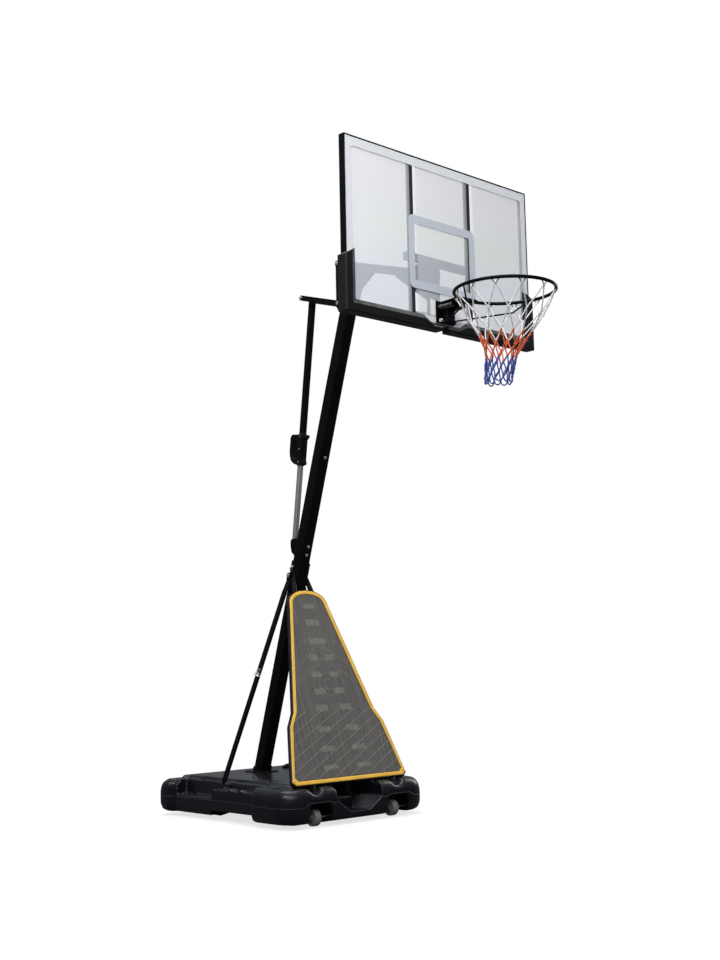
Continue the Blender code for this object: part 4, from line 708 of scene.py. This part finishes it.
def through_bolt(low, high, shank, head, turn=0.3):
    """A bolt with a hex head, two washers, a nut and a stub of thread, from end to end."""
    axis = (high - low).normalized()
    length = (high - low).length
    thick, tall, bite = 0.0012, 0.0052, 0.0002
    return joined([
        turned(((shank, 0.001), (shank, length - 0.0012), (shank * 0.8, length)), low, axis, 20),
        hexagon(low + axis * tall, -axis, head * 1.72, tall * 0.92, turn),
        washer(low + axis * (tall - bite), axis, head, thick),
        hexagon(high - axis * tall, axis, head * 1.66, tall * 0.8, -turn),
        washer(high - axis * (tall + thick - bite), axis, head, thick),
    ])


def stand_in(name, shape, node, finish=None, smooth_angle=30.0):
    """A fine shape that stands for a CAD node."""
    obj = stand_for(node, name, mesh_from(name, *shape), finish)
    obj.data.set_sharp_from_angle(angle=radians(smooth_angle))
    return obj


def extra(name, shape, finish, node, smooth_angle=30.0):
    """A fine piece that the CAD leaves out, such as a screw, on the body of a node."""
    obj = add_piece(name, mesh_from(name, *shape), finish, body_of(node))
    obj.data.set_sharp_from_angle(angle=radians(smooth_angle))


# Board prints

def round_outline(low, high, radius, steps=8):
    """A rounded rectangle in X and Z."""
    points = []
    corners = ((high[0] - radius, high[1] - radius, 0), (low[0] + radius, high[1] - radius, 1),
               (low[0] + radius, low[1] + radius, 2), (high[0] - radius, low[1] + radius, 3))
    for x, z, quarter in corners:
        for step in range(steps + 1):
            angle = pi / 2 * (quarter + step / steps)
            points.append((x + radius * cos(angle), z + radius * sin(angle)))
    return points


def printed_frame(name, outer, inner, y, finish):
    """A thin printed band between two rounded outlines on the panel's face."""
    rings = [[(x, y, z) for x, z in ring] for ring in (outer, inner)]
    rings += [[(x, y - PRINT_DEPTH, z) for x, z in ring] for ring in (inner, outer)]
    add_piece(name, mesh_from(name, *skin(rings, closed=True), smooth=False), finish, "board")


def make_prints():
    low, high = BOARD_LOW, BOARD_HIGH
    y = low.y - 0.00005
    edge = 0.004
    outer = round_outline((low.x + edge, low.z + edge), (high.x - edge, high.z - edge), 0.003)
    inner = round_outline((-BORDER_INNER, low.z + BORDER_FOOT), (BORDER_INNER, high.z - BORDER_WIDTH), 0.018)
    printed_frame("border_print", outer, inner, y, BORDER_INK)
    outer = round_outline((-TARGET_HALF, TARGET_LOW), (TARGET_HALF, TARGET_HIGH), TARGET_CORNER)
    band = TARGET_BAND
    inner = round_outline((band - TARGET_HALF, TARGET_LOW + band), (TARGET_HALF - band, TARGET_HIGH - band),
                          TARGET_CORNER - band * 0.7)
    printed_frame("shooting_square_print", outer, inner, y, TARGET_INK)


# Ring, hooks and net

def sheet(plan, low, high):
    """An outline in plan drawn up from one level to another."""
    return skin([[(x, y, z) for x, y in plan] for z in (low, high)])


def make_ring():
    """The hoop, its neck, its two brace rods and their weld beads."""
    centre = Vector((0.0, RING_LOW.y + RING_TUBE + RING_RADIUS, RING_LEVEL))
    near = BRACKET_LOW.y - 0.0003
    half = BRACKET_HIGH.x
    rear = BOARD_LOW.y - 0.014
    level = centre.z + RING_TUBE - NECK_LAP
    meet = centre.y + sqrt(RING_RADIUS ** 2 - NECK_END ** 2)
    neck = ((-NECK_HALF, rear), (NECK_HALF, rear), (NECK_END, meet), (-NECK_END, meet))
    drop = ((-half, near - 0.004), (half, near - 0.004), (half, near), (-half, near))
    shapes = [
        swept(ring_of(centre, X_WAY, Y_WAY, RING_RADIUS, 144), RING_TUBE, 16, closed=True),
        sheet(neck, level, level + NECK_SHEET),
        sheet(drop, BOARD_EDGE + 0.010, level + NECK_SHEET / 2),
    ]
    for side in (-1, 1):
        start = Vector((side * ROD_START, near - 0.003, BOARD_EDGE + 0.016))
        bend = Vector((side * ROD_BEND, BOARD_LOW.y - ROD_BEND_REACH, BOARD_EDGE + 0.031))
        end = centre + around(radians(ROD_ANGLE if side > 0 else 180 - ROD_ANGLE)) * RING_RADIUS
        route = [start + (bend - start) * t for t in (0.0, 0.3, 0.6, 0.85, 0.94)]
        route += [bend + (end - bend) * t for t in (0.0, 0.10, 0.3, 0.7, 1.0)]
        shapes.append(swept(curve_through(route, 5), ROD_THICK, 12))
        shapes.append(weld_bead(end - (end - bend).normalized() * 0.007, end - bend, BEAD))
        shapes.append(weld_bead(start - Y_WAY * 0.003, bend - start, BEAD))
    for side in (-1, 1):
        route = [(side * (NECK_HALF + (NECK_END - NECK_HALF) * t), rear + (meet - rear) * t, level + 0.0015)
                 for t in (0.88, 0.94, 1.0)]
        shapes.append(swept(route, NECK_WELD, 8))
    stand_in("hoop", joined(shapes), "rim_ring", smooth_angle=40)
    return centre


def weld_bead(spot, axis, radius):
    """A lumpy ring of weld round a joint."""
    _, across, up = side_axes(axis)

    def lumpy(step, angle):
        return radius * 0.75 * (1.0 + 0.06 * sin(angle * 9))

    return swept(ring_of(spot, across, up, lumpy, 28), radius * 0.36, 7, closed=True)


# One hook from side to side: share of its half width, and its drop
HOOK = ((-1.0, 0.004), (-0.66, 0.011), (-0.30, 0.0195), (-0.10, 0.0235), (0.0, 0.0190),
        (0.10, 0.0235), (0.30, 0.0195), (0.66, 0.011), (1.0, 0.004))


def make_hooks(centre):
    """Twelve V-shaped wire hooks welded under the hoop, and where the net hangs on each."""
    shapes, hangers = [], []
    for i in range(HOOK_COUNT):
        out = around(2 * pi * i / HOOK_COUNT)
        along = Z_WAY.cross(out)
        spot = centre + out * (RING_RADIUS - 0.002)
        route = [spot + along * HOOK_HALF * t - Z_WAY * drop - out * HOOK_BOW * (1 - t * t)
                 for t, drop in HOOK]
        shapes.append(swept(curve_through(route, 4), HOOK_WIRE, 8))
        hangers.append(spot - out * HOOK_BOW - Z_WAY * HOOK_DROP)
    extra("net_hooks", joined(shapes), POWDER, "rim_ring", 45)
    return hangers


def braid(share):
    return 1.0 + 0.05 * sin(share * 150)


def tie(*points, steps=6):
    """A braided cord through points."""
    return swept(curve_through(points, steps), NET_THICK, 8, wave=braid)


def make_net(centre):
    """A knotted net: zigzag cords from the hooks, knots where they cross and open loops at its end."""
    hangers = make_hooks(centre)
    rng = np.random.default_rng(12)
    top = centre.z - HOOK_DROP
    length = NET_TOP_Z - NET_LOW.z - 0.012
    rows = []
    for row, share in enumerate(NET_ROWS):
        drop = length * share
        lean = max(0.0, drop - NET_LEAN_START) / (NET_DROPS[-1] - NET_LEAN_START)
        radius = float(np.interp(drop, NET_DROPS, NET_RADII))
        ring = []
        for column in range(HOOK_COUNT):
            if row == 0:
                ring.append(hangers[column])
                continue
            angle = 2 * pi * (column + row % 2 / 2) / HOOK_COUNT + rng.normal(0, 0.035)
            spot = centre + around(angle) * radius * (1 + rng.normal(0, 0.03)) + NET_LEAN * lean
            spot.z = top - drop + rng.normal(0, 0.0035)
            ring.append(spot)
        rows.append(ring)
    cords, knots = [], []
    for row in range(len(rows) - 1):
        for column in range(HOOK_COUNT):
            a = rows[row][column]
            for other in (column - 1 + row % 2, column + row % 2):
                b = rows[row + 1][other % HOOK_COUNT]
                middle = (a + b) / 2 + Vector((rng.normal(0, 0.0015), rng.normal(0, 0.0015), -0.002))
                cords.append(tie(a, middle, b))
            if row == 0:
                knots.append(knot(a, NET_THICK * 1.9, rng))
    for row in rows[1:]:
        for spot in row:
            knots.append(knot(spot, NET_THICK * 1.75, rng))
    last = rows[-1]
    for a, b in zip(last, last[1:] + last[:1]):
        middle = (a + b) / 2
        hang = 0.026 + rng.uniform(-0.004, 0.006)
        sag = Z_WAY * hang * 0.75
        cords.append(tie(a, a.lerp(middle, 0.3) - sag, middle - Z_WAY * hang, b.lerp(middle, 0.3) - sag, b,
                         steps=5))
    stand_in("net_cords", joined(cords + knots), "net", smooth_angle=50)


def knot(spot, radius, rng):
    """A small lumpy knot."""
    rings = []
    turn = rng.uniform(0, pi)
    for i in range(1, 6):
        tall = pi * i / 6
        def lumpy(step, angle):
            return radius * sin(tall) * (1 + 0.14 * sin((angle + turn) * 3 + i))
        level = spot + Z_WAY * radius * 1.25 * cos(tall)
        rings.append(ring_of(level, X_WAY, Y_WAY, lumpy, 10, turn))
    return skin(rings)


def make_springs():
    """The two rim springs: a coil between a flange and an end cap, on a core."""
    for word in ("left", "right"):
        node = f"spring_housing_{word}"
        _, _, middle, half = box_of(node)
        radius, long = half.x, half.y * 2
        start = middle + Y_WAY * half.y
        profile = ((0.86, 0.0), (0.98, 0.001), (0.98, 0.006), (0.72, 0.007), (0.72, long - 0.009),
                   (0.95, long - 0.0085), (0.95, long - 0.002), (0.80, long))
        core = turned([(radius * share, along) for share, along in profile], start, -Y_WAY, 36)
        coil = []
        for i in range(SPRING_TURNS * 24 + 1):
            along = 0.0085 + (long - 0.0195) * i / (SPRING_TURNS * 24)
            out = around(2 * pi * i / 24, X_WAY, Z_WAY)
            coil.append(start - Y_WAY * along + out * radius * 0.86)
        nut = hexagon(start - Y_WAY * (long - 0.0035), -Y_WAY, radius * 1.1, 0.0035)
        shape = joined([core, swept(coil, radius * 0.14, 8), nut])
        stand_in(f"rim_spring_{word}", shape, node, SPRING, smooth_angle=40)


# Base tank

def held(values):
    """Values held between 0 and 1."""
    return np.clip(values, 0, 1)


def places_of(mesh):
    """A mesh's points, one row each."""
    spots = np.empty(len(mesh.vertices) * 3)
    mesh.vertices.foreach_get("co", spots)
    return spots.reshape(-1, 3)


def tank_mesh():
    """The tank with the soft edges of a blow-moulding, its deck grooves and the fins on its side shelves."""
    solid = put("tank_blank", clean_copy("base_tank"))
    remesh = solid.modifiers.new("even_faces", "REMESH")
    remesh.mode = "VOXEL"
    remesh.voxel_size = TANK_VOXEL
    soften = solid.modifiers.new("soft_edges", "SMOOTH")
    soften.factor = 0.5
    soften.iterations = TANK_SOFTEN
    deps = bpy.context.evaluated_depsgraph_get()
    mesh = bpy.data.meshes.new_from_object(solid.evaluated_get(deps), depsgraph=deps)
    blank = solid.data
    bpy.data.objects.remove(solid)
    bpy.data.meshes.remove(blank)
    soften_mounds(mesh)
    spots = places_of(mesh)
    normals = np.empty(spots.size)
    mesh.vertex_normals.foreach_get("vector", normals)
    normals = normals.reshape(-1, 3)
    lift = np.zeros(len(spots))
    mirror = np.column_stack((np.abs(spots[:, 0]), spots[:, 1]))
    high = normals[:, 2] > 0.35
    for line, depth, width in TANK_LINES:
        gap = distance_to_line(mirror, line)
        lift += np.where(high, depth * np.exp(-(gap / width) ** 2), 0.0)
    wave = np.sin(spots[:, 0] * 9.0 + 1.3) * np.sin(spots[:, 1] * 7.0) * np.sin(spots[:, 2] * 21.0 + 0.6)
    lift += np.where(spots[:, 2] > 0.03, TANK_WAVE * wave, 0.0)
    spots += normals * lift[:, None]
    mesh.vertices.foreach_set("co", spots.ravel())
    mesh.update()
    mesh.shade_smooth()
    return mesh


def soften_mounds(mesh):
    """Rounds the upper front corners and the mounds beside the legs further, as the blow-moulding does."""
    spots = places_of(mesh)
    count = len(spots)
    links = np.empty(len(mesh.edges) * 2, int)
    mesh.edges.foreach_get("vertices", links)
    a, b = links.reshape(-1, 2).T
    number = np.bincount(a, minlength=count) + np.bincount(b, minlength=count)
    low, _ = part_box("base_tank")
    front = held((low.y + 0.25 - spots[:, 1]) / 0.05)
    upper = held((spots[:, 2] - 0.112) / 0.022)
    outer = held((np.abs(spots[:, 0]) - 0.150) / 0.02)
    share = (front * upper * outer * 0.55)[:, None]
    for _ in range(MOUND_SOFTEN):
        total = np.empty_like(spots)
        for k in range(3):
            total[:, k] = np.bincount(a, spots[b, k], count) + np.bincount(b, spots[a, k], count)
        spots += share * (total / number[:, None] - spots)
    mesh.vertices.foreach_set("co", spots.ravel())
    mesh.update()


def distance_to_line(places, line):
    """Distance in plan from many places to a line of points."""
    best = np.full(len(places), 9.0)
    for a, b in zip(line, line[1:]):
        a, b = np.array(a), np.array(b)
        along = held(((places - a) @ (b - a)) / ((b - a) @ (b - a)))
        best = np.minimum(best, np.linalg.norm(places - (a + along[:, None] * (b - a)), axis=1))
    return best


def parting_height(x, y, front):
    """Height of the tank's parting line: level, higher over the wheel arches, down to the front recess."""
    if y > front + 0.06:
        return 0.100
    return float(np.interp(abs(x), (0.057, 0.147, 0.175, 0.200, 0.335, 0.365),
                           (0.050, 0.110, 0.108, 0.1175, 0.1175, 0.100)))


def parting_line(mesh):
    """A thin rib round the walls, laid on the tank's own surface."""
    bm = bmesh.new()
    bm.from_mesh(mesh)
    surface = BVHTree.FromBMesh(bm)
    bm.free()
    low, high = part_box("base_tank")
    outline = round_outline((low.x - 0.05, low.y - 0.05), (high.x + 0.05, high.y + 0.05), 0.14, 24)
    outline = [Vector((x, y, 0)) for x, y in outline]
    dense = []
    for a, b in zip(outline, outline[1:] + outline[:1]):
        steps = max(1, int((b - a).length / SEAM_STEP))
        dense += [a.lerp(b, i / steps) for i in range(steps)]
    runs = [[]]
    for i, spot in enumerate(dense + dense[:1]):
        ahead, behind = dense[(i + 1) % len(dense)], dense[i - 1]
        inward = Z_WAY.cross(ahead - behind).normalized()
        z = parting_height(spot.x, spot.y, low.y)
        hit, normal, _, _ = surface.ray_cast(Vector((spot.x, spot.y, z)), inward)
        bare = hit is None or (abs(spot.x) <= 0.058 and spot.y <= 0)
        if bare or (runs[-1] and (hit - runs[-1][-1]).length > SEAM_GAP):
            runs.append([])
        if not bare:
            runs[-1].append(hit + normal * 0.0002)
    return joined([swept(run, SEAM_HALF, 6) for run in runs if len(run) > 3])


def make_tank():
    """The blow-moulded shell and the parting line round it."""
    mesh = tank_mesh()
    stand_for("base_tank", "tank_shell", mesh)
    extra("tank_parting_line", parting_line(mesh), SEAM, "base_tank", 80)


def mirrored(profile):
    """A profile's outer half with its mirror image before it."""
    return [(radius, -along) for radius, along in reversed(profile)] + list(profile)


def make_wheels():
    """Wheels with a treaded band, a dished side with spokes and a hub."""
    for node in both_sides("wheel_*"):
        _, _, centre, size = box_of(node)
        radius, half = size.z, size.x
        rim = half - 0.003

        def tread(step, along):
            return 0.975 if step % 6 == 0 and abs(along) < rim - 0.004 else 1.0

        tyre = ((radius - 0.0016, 0.0015), (radius, 0.0025), (radius, rim - 0.0045),
                (radius - 0.001, rim - 0.002), (radius - 0.004, rim), (radius - 0.009, rim),
                (radius - 0.010, rim - 0.002))
        dish = ((radius - 0.0095, rim - 0.007), (0.0145, rim - 0.006), (0.0135, half - 0.001), (0.0125, half),
                (0.006, half))
        shapes = [turned(mirrored(tyre), centre, X_WAY, 96, tread), turned(mirrored(dish), centre, X_WAY, 48)]
        for spoke in range(6):
            out = around(pi * spoke / 3 + 0.2, Y_WAY, Z_WAY)
            for side in (-1, 1):
                face = centre + X_WAY * side * (rim - 0.0055)
                shapes.append(swept([face + out * 0.012, face + out * (radius - 0.008)], 0.0018, 8))
        stand_in(f"{node}_fine", joined(shapes), node, smooth_angle=32)


# Bolts, caps and small pieces

def node_ends(node, axis):
    """Both ends of a headed pin along X or in the Y and Z plane, and its head's radius."""
    _, _, middle, half = box_of(node)
    if abs(axis.x) > 0.9:
        head, reach = half.z, half.x
    else:
        head = half.x
        reach = (half.y - head * abs(axis.z)) / abs(axis.y)
    return middle - axis * reach, middle + axis * reach, head


def make_bolts():
    """Every pin and bolt, along X or square to the leaning pole."""
    back = around(POLE_LEAN, Y_WAY, Z_WAY)
    along_x = ("pivot_pin_lower", "pivot_pin_upper", "board_pin_lower", "board_pin_upper", "rim_hinge_pin",
               "clevis_pin", "collar_bolt_side", "lever_bolt_left", "lever_bolt_right")
    leaning = ("seam_bolt", "collar_bolt_front", "clevis_bolt_lower", "clevis_bolt_upper")
    for names, axis in ((along_x, X_WAY), (leaning, back)):
        for turn, node in enumerate(names):
            low, high, head = node_ends(node, axis)
            shank = min(0.0048, head * 0.55)
            finish = POWDER if node == "clevis_pin" else None
            bolt = through_bolt(low, high, shank, head * 0.98, 0.3 + turn * 0.4)
            stand_in(f"{node}_fine", bolt, node, finish)


def make_cap():
    """The filler cap, with a knurled skirt and a grip bar."""
    low, _, centre, half = box_of("filler_cap")
    deck = low.z + 0.016
    radius = half.x

    def knurl(step, along):
        return 0.965 if step % 3 == 0 and 0.0015 < along < 0.0105 else 1.0

    skirt = ((0.018, -0.015), (0.0212, -0.014), (0.0212, 0.0005), (radius - 0.001, 0.0005), (radius, 0.002),
             (radius, 0.010), (radius - 0.0015, 0.0125), (radius - 0.005, 0.0138), (radius * 0.62, 0.0138),
             (radius * 0.58, 0.0122), (0.004, 0.0118))
    bar = []
    for t, thick, tall in ((-1, 0.0022, 0.0145), (-0.9, 0.0038, 0.0195), (-0.4, 0.0042, 0.0215),
                           (0.4, 0.0042, 0.0215), (0.9, 0.0038, 0.0195), (1, 0.0022, 0.0145)):
        section = ((-1, 0.010), (-1, tall - 0.002), (-0.5, tall), (0.5, tall), (1, tall - 0.002), (1, 0.010))
        bar.append([(centre.x + t * radius * 0.68, centre.y + u * thick, deck + z) for u, z in section])
    skirt = turned(skirt, (centre.x, centre.y, deck), Z_WAY, 90, knurl)
    stand_in("cap_fine", joined([skirt, skin(bar)]), "filler_cap")


def make_plug():
    """The drain plug, with its ribs and a slot bar."""
    _, _, middle, half = box_of("drain_plug")
    radius = half.x
    spot = middle + Y_WAY * (half.y - 0.005)

    def ribs(step, along):
        return 0.95 if step % 4 < 2 and along > 0.001 else 1.0

    body = ((0.008, -0.0095), (radius * 0.58, -0.009), (radius * 0.58, 0.0004), (radius, 0.0008),
            (radius, 0.0038), (radius * 0.90, 0.005), (radius * 0.5, 0.005), (radius * 0.45, 0.0036),
            (0.002, 0.0036))
    slot_bar = [[spot + Vector((x, y, end)) for x, y in
                 ((-0.002, 0.003), (-0.002, 0.0048), (0.002, 0.0048), (0.002, 0.003))]
                for end in (-radius * 0.42, radius * 0.42)]
    stand_in("plug_fine", joined([turned(body, spot, Y_WAY, 64, ribs), skin(slot_bar)]), "drain_plug")


def section_middle(node, z):
    """The middle of a CAD node's section at a height."""
    bm = bmesh.new()
    bm.from_mesh(frame["nodes"][node].data)
    bm.transform(frame["nodes"][node].matrix_world)
    cut = bmesh.ops.bisect_plane(bm, geom=bm.verts[:] + bm.edges[:] + bm.faces[:], plane_co=(0, 0, z),
                                 plane_no=Z_WAY)["geom_cut"]
    spots = [v.co.copy() for v in cut if isinstance(v, bmesh.types.BMVert)]
    bm.free()
    return sum(spots, Vector()) / len(spots)


def make_clip():
    """The bright spring clip on the near side brace."""
    a, b = section_middle("side_brace_left", 0.712), section_middle("side_brace_left", 0.762)
    axis = (b - a).normalized()
    profile = ((0.0128, 0.0), (0.0141, 0.0005), (0.0141, 0.0035), (0.0134, 0.0045), (0.0134, 0.036),
               (0.0141, 0.037), (0.0141, 0.0405), (0.0128, 0.041))
    ear = [a + axis * along + Vector((-out, back, 0)) for along, out, back in
           ((0.010, 0.0145, 0.004), (0.014, 0.020, 0.006), (0.028, 0.020, 0.006), (0.032, 0.0145, 0.004))]
    shape = joined([turned(profile, a, axis, 32), swept(curve_through(ear, 5), 0.0018, 8)])
    extra("brace_clip", shape, BRIGHT, "side_brace_left", 35)


def strut_spot(z):
    """The point of the strut's axis at a height."""
    return STRUT_FOOT + STRUT_AXIS * ((z - STRUT_FOOT.z) / STRUT_AXIS.z)


def handle_spot(share):
    """The point of the strut's axis at a share of the handle's height."""
    low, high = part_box("handle_body")
    return strut_spot(low.z + (high.z - low.z) * share)


def make_handle_details():
    """Screws, a seam and finger ribs on the strut's handle."""
    low, high, _, half = box_of("handle_body")
    head = ((0.0030, 0.0), (0.0036, 0.0004), (0.0034, 0.0012), (0.0022, 0.0016), (0.0018, 0.0008),
            (0.0004, 0.0008))
    screws = []
    for side in (-1, 1):
        for share in (0.10, 0.5, 0.90):
            face = handle_spot(share) + X_WAY * side * (half.x - 0.0004)
            screws.append(turned(head, face, X_WAY * side, 24))
    extra("handle_screws", joined(screws), ZINC, "handle_body")
    collar = ((0.0185, -0.006), (0.0215, -0.004), (0.0227, 0.0), (0.0215, 0.004), (0.0185, 0.006))
    collars = [turned(collar, strut_spot(z), STRUT_AXIS, 36) for z in (low.z + 0.004, high.z - 0.008)]
    extra("handle_collars", joined(collars), GRIP, "handle_body", 50)
    seam = [Vector((0, strut_spot(z).y - 0.0212, z)) for z in np.linspace(low.z + 0.012, high.z - 0.012, 12)]
    ribs = [swept(seam, 0.0009, 6)]
    for share in np.linspace(0.12, 0.88, 12):
        spot = handle_spot(share) - Y_WAY * 0.0205
        rib = [spot + Vector((x, 0.0008 * abs(x) / 0.012, 0)) for x in np.linspace(-0.012, 0.012, 7)]
        ribs.append(swept(rib, 0.0011, 6))
    extra("handle_ribs", joined(ribs), GRIP, "handle_body", 60)


# Front guard

def insert_outline():
    """The grey insert's half width by distance up its slope, and its plane, from the CAD piece."""
    node = frame["nodes"]["guard_insert"]
    spots = [node.matrix_world @ v.co for v in node.data.vertices]
    foot = min(spots, key=lambda p: (round(p.z, 4), p.y))
    up = Vector((0, sin(GUARD_TILT), cos(GUARD_TILT)))
    out = Vector((0, -cos(GUARD_TILT), sin(GUARD_TILT)))
    face = max(p.dot(out) for p in spots)
    start = Vector((0, foot.y, foot.z))
    start += out * (face - start.dot(out))
    front = [p for p in spots if p.dot(out) > face - 0.0005]
    pairs = {(round((p - start).dot(up), 5), round(abs(p.x), 5)) for p in front}
    heights = sorted({h for h, _ in pairs})
    widths = [max(w for h, w in pairs if h == height) for height in heights]
    return np.array(heights), np.array(widths), start, up, out


def box_mark(u, v, centre, size, soft):
    """1 inside a rounded box, 0 outside it, soft at its edge."""
    gap = np.hypot(*(np.maximum(np.abs(place - middle) - half + soft, 0)
                     for place, middle, half in zip((u, v), centre, size)))
    return 1.0 - held((gap - soft * 0.4) / (soft * 0.8))


def relief(u, v):
    """The insert's relief in metres and its pale mask: slanted ribs, tack marks, chevrons and rings."""
    slant = (v - u * GUARD_RIB_SLOPE) / GUARD_RIB_STEP
    near = np.abs(slant - np.round(slant)) * GUARD_RIB_STEP
    ribs = held((GUARD_RIB_TOP - v) / 0.006) * held(1.3 - near / 0.0026)
    marks = np.zeros_like(u)
    for centre, half, tall in GUARD_MARKS:
        for side in ((-1, 1) if centre[0] else (1,)):
            marks = np.maximum(marks, box_mark(u, v, (side * centre[0], centre[1]), (half, tall), 0.012))
    lines = np.zeros_like(u)
    for level in GUARD_CHEVRONS:
        reach = held((0.215 - 0.20 * (v - 0.36) - np.abs(u)) / 0.006)
        line = v - level + np.abs(u) * 0.62
        lines = np.maximum(lines, reach * held(1.2 - np.abs(line) / 0.0030))
    for size in GUARD_RINGS:
        ring = np.abs(np.hypot(u, v - GUARD_RING_LEVEL) - size)
        lines = np.maximum(lines, held(1.2 - ring / 0.0028))
    height = GUARD_RIB_RISE * ribs + GUARD_LINE_RISE * lines - GUARD_MARK_SINK * marks * (1 - lines)
    return height, held(0.60 * ribs + 0.26 * lines + 0.46 * marks)


def make_insert():
    """The grey insert as a fine relief over the CAD piece's outline."""
    heights, widths, start, up, out = insert_outline()
    low, high = heights[0], heights[-1]
    share = np.linspace(0, 1, GUARD_GRID[0])
    levels = low + (high - low) * (1 - (1 - share) ** 1.35)
    columns = np.linspace(-1, 1, GUARD_GRID[1])
    half = np.interp(levels, heights, widths)
    half[-1] = max(half[-1], 0.002)
    u = half[:, None] * columns[None, :] * 0.9995
    v = np.repeat(levels[:, None], len(columns), axis=1)
    edge = np.minimum((half[:, None] - np.abs(u)) / 0.006, np.minimum((v - low) / 0.006, (high - v) / 0.006))
    height, pale = relief(u, v)
    lift = height * held(edge) - 0.0012 * (1 - held(edge * 3))
    grid = np.array(start) + sum(reach[..., None] * np.array(way)
                                 for reach, way in ((u, X_WAY), (v, up), (lift, out)))
    rows, count = u.shape
    points = grid.reshape(-1, 3).tolist()
    faces = []
    for i in range(rows - 1):
        for j in range(count - 1):
            a = i * count + j
            faces.append((a, a + 1, a + count + 1, a + count))
    border = list(range(count)) + [i * count + count - 1 for i in range(1, rows)]
    border += list(range(rows * count - 2, (rows - 1) * count - 1, -1))
    border += [i * count for i in range(rows - 2, 0, -1)]
    back = len(points)
    sink = np.array(out) * -GUARD_BACK
    points += [(np.array(points[i]) + sink).tolist() for i in border]
    for k, i in enumerate(border):
        following = (k + 1) % len(border)
        faces.append((i, back + k, back + following, border[following]))
    faces.append(tuple(range(back, back + len(border))))
    insert = stand_in("insert_relief", (points, faces), "guard_insert", smooth_angle=70)
    mask = insert.data.attributes.new("relief_mark", "FLOAT", "POINT")
    mask.data.foreach_set("value", np.concatenate((pale.ravel(), np.zeros(len(border)))))


# Studio

# Name, place, aim, size, watts and colour
LAMPS = (
    ("key", (-4.5, -4.0, 5.5), (0, -0.4, 1.4), (3.0, 3.0), 170.0, (1.0, 1.0, 1.0)),
    ("top", (0.5, 1.0, 6.5), (0, -0.3, 1.2), (4.0, 4.0), 260.0, (0.95, 0.97, 1.0)),
    ("sun", (-5.5, -1.5, 6.0), (0, -0.4, 1.2), (0.7, 0.7), 190.0, (1.0, 0.98, 0.95)),
    ("side", (5.4, -0.6, 3.2), (0, -0.4, 1.4), (2.0, 4.0), 130.0, (1.0, 1.0, 1.0)),
    ("front", (-1.8, -4.6, 4.4), (0, -1.2, 2.8), (2.0, 2.0), 60.0, (1.0, 1.0, 1.0)),
)


def make_lamps():
    for name, spot, aim, size, power, colour in LAMPS:
        data = bpy.data.lights.new(name, "AREA")
        data.shape = "RECTANGLE"
        data.size, data.size_y = size
        data.energy = power
        data.color = colour
        lamp = put(name, data)
        lamp.location = spot
        lamp.rotation_mode = "QUATERNION"
        lamp.rotation_quaternion = (Vector(aim) - Vector(spot)).to_track_quat("-Z", "Y")


def end_with(tree, kind, share, first, second):
    """Ends a tree with two shaders mixed by a share."""
    both = feed_all(add_node(tree, "MixShader"), share, first.outputs[0], second.outputs[0])
    fill(add_node(tree, kind), Surface=both.outputs[0])


def make_floor():
    """A pale floor that takes the shadow near the object and fades to white away from it."""
    half = 60.0
    mesh = bpy.data.meshes.new("floor")
    corners = [(-half, -half, 0), (half, -half, 0), (half, half, 0), (-half, half, 0)]
    mesh.from_pydata(corners, [], [(0, 1, 2, 3)])
    floor = put("floor", mesh)
    floor.location.z = -0.0005
    material = bpy.data.materials.new("Pale floor")
    material.use_nodes = True
    tree = material.node_tree
    tree.nodes.clear()
    spot = own_place(tree)
    seen = add_node(tree, "LightPath").outputs["Is Camera Ray"]
    tone = ramp(tree, noise(tree, spot, 3.0, 5.0), 0.3, 0.7)
    pale = mix_colour(tree, tone, (0.84, 0.84, 0.84), (0.86, 0.86, 0.86))
    pale = mix_colour(tree, seen, (0.12, 0.12, 0.125), pale)
    plain = fill(add_node(tree, "BsdfDiffuse"), Color=pale)
    glow = add_node(tree, "Emission")
    far = feed_all(add_node(tree, "VectorMath", operation="LENGTH"), spot).outputs["Value"]
    share = times(tree, seen, ramp(tree, far, FLOOR_NEAR, FLOOR_FAR, FLOOR_GLOW, 1.0))
    end_with(tree, "OutputMaterial", share, plain, glow)
    mesh.materials.append(material)


def make_world():
    """White where the camera looks, and a soft pale blue light that grows towards the top."""
    world = bpy.data.worlds.new("Studio")
    bpy.context.scene.world = world
    world.use_nodes = True
    tree = world.node_tree
    tree.nodes.clear()
    way = split(tree, add_node(tree, "TexCoord").outputs["Generated"])["Z"]
    soft = fill(add_node(tree, "Background"), Color=(0.88, 0.93, 1.0),
                Strength=ramp(tree, way, -0.05, 0.75, 0.10, 0.62))
    white = fill(add_node(tree, "Background"), Color=(1.0, 1.0, 1.0), Strength=1.0)
    path = add_node(tree, "LightPath").outputs
    seen = math_node(tree, "ADD", path["Is Camera Ray"], path["Is Transmission Ray"], clamp=True)
    end_with(tree, "OutputWorld", seen, soft, white)


def make_camera():
    data = bpy.data.cameras.new("photo_camera")
    data.sensor_width = 36.0
    data.sensor_fit = "AUTO"
    data.lens = CAMERA_LENS
    data.clip_start, data.clip_end = 0.05, 200.0
    camera = put("photo_camera", data)
    camera.matrix_world = (
        Matrix.Translation(CAMERA_SPOT) @ Matrix.Rotation(CAMERA_YAW, 4, "Z")
        @ Matrix.Rotation(pi / 2 + CAMERA_PITCH, 4, "X") @ Matrix.Rotation(CAMERA_ROLL, 4, "Z")
    )
    bpy.context.scene.camera = camera


def main():
    bpy.context.scene.view_settings.view_transform = "Standard"
    make_camera()
    make_floor()
    make_world()
    make_lamps()
    make_prints()
    make_net(make_ring())
    make_springs()
    make_tank()
    make_wheels()
    make_bolts()
    make_cap()
    make_plug()
    make_clip()
    make_handle_details()
    make_insert()
    dress_nodes()


main()
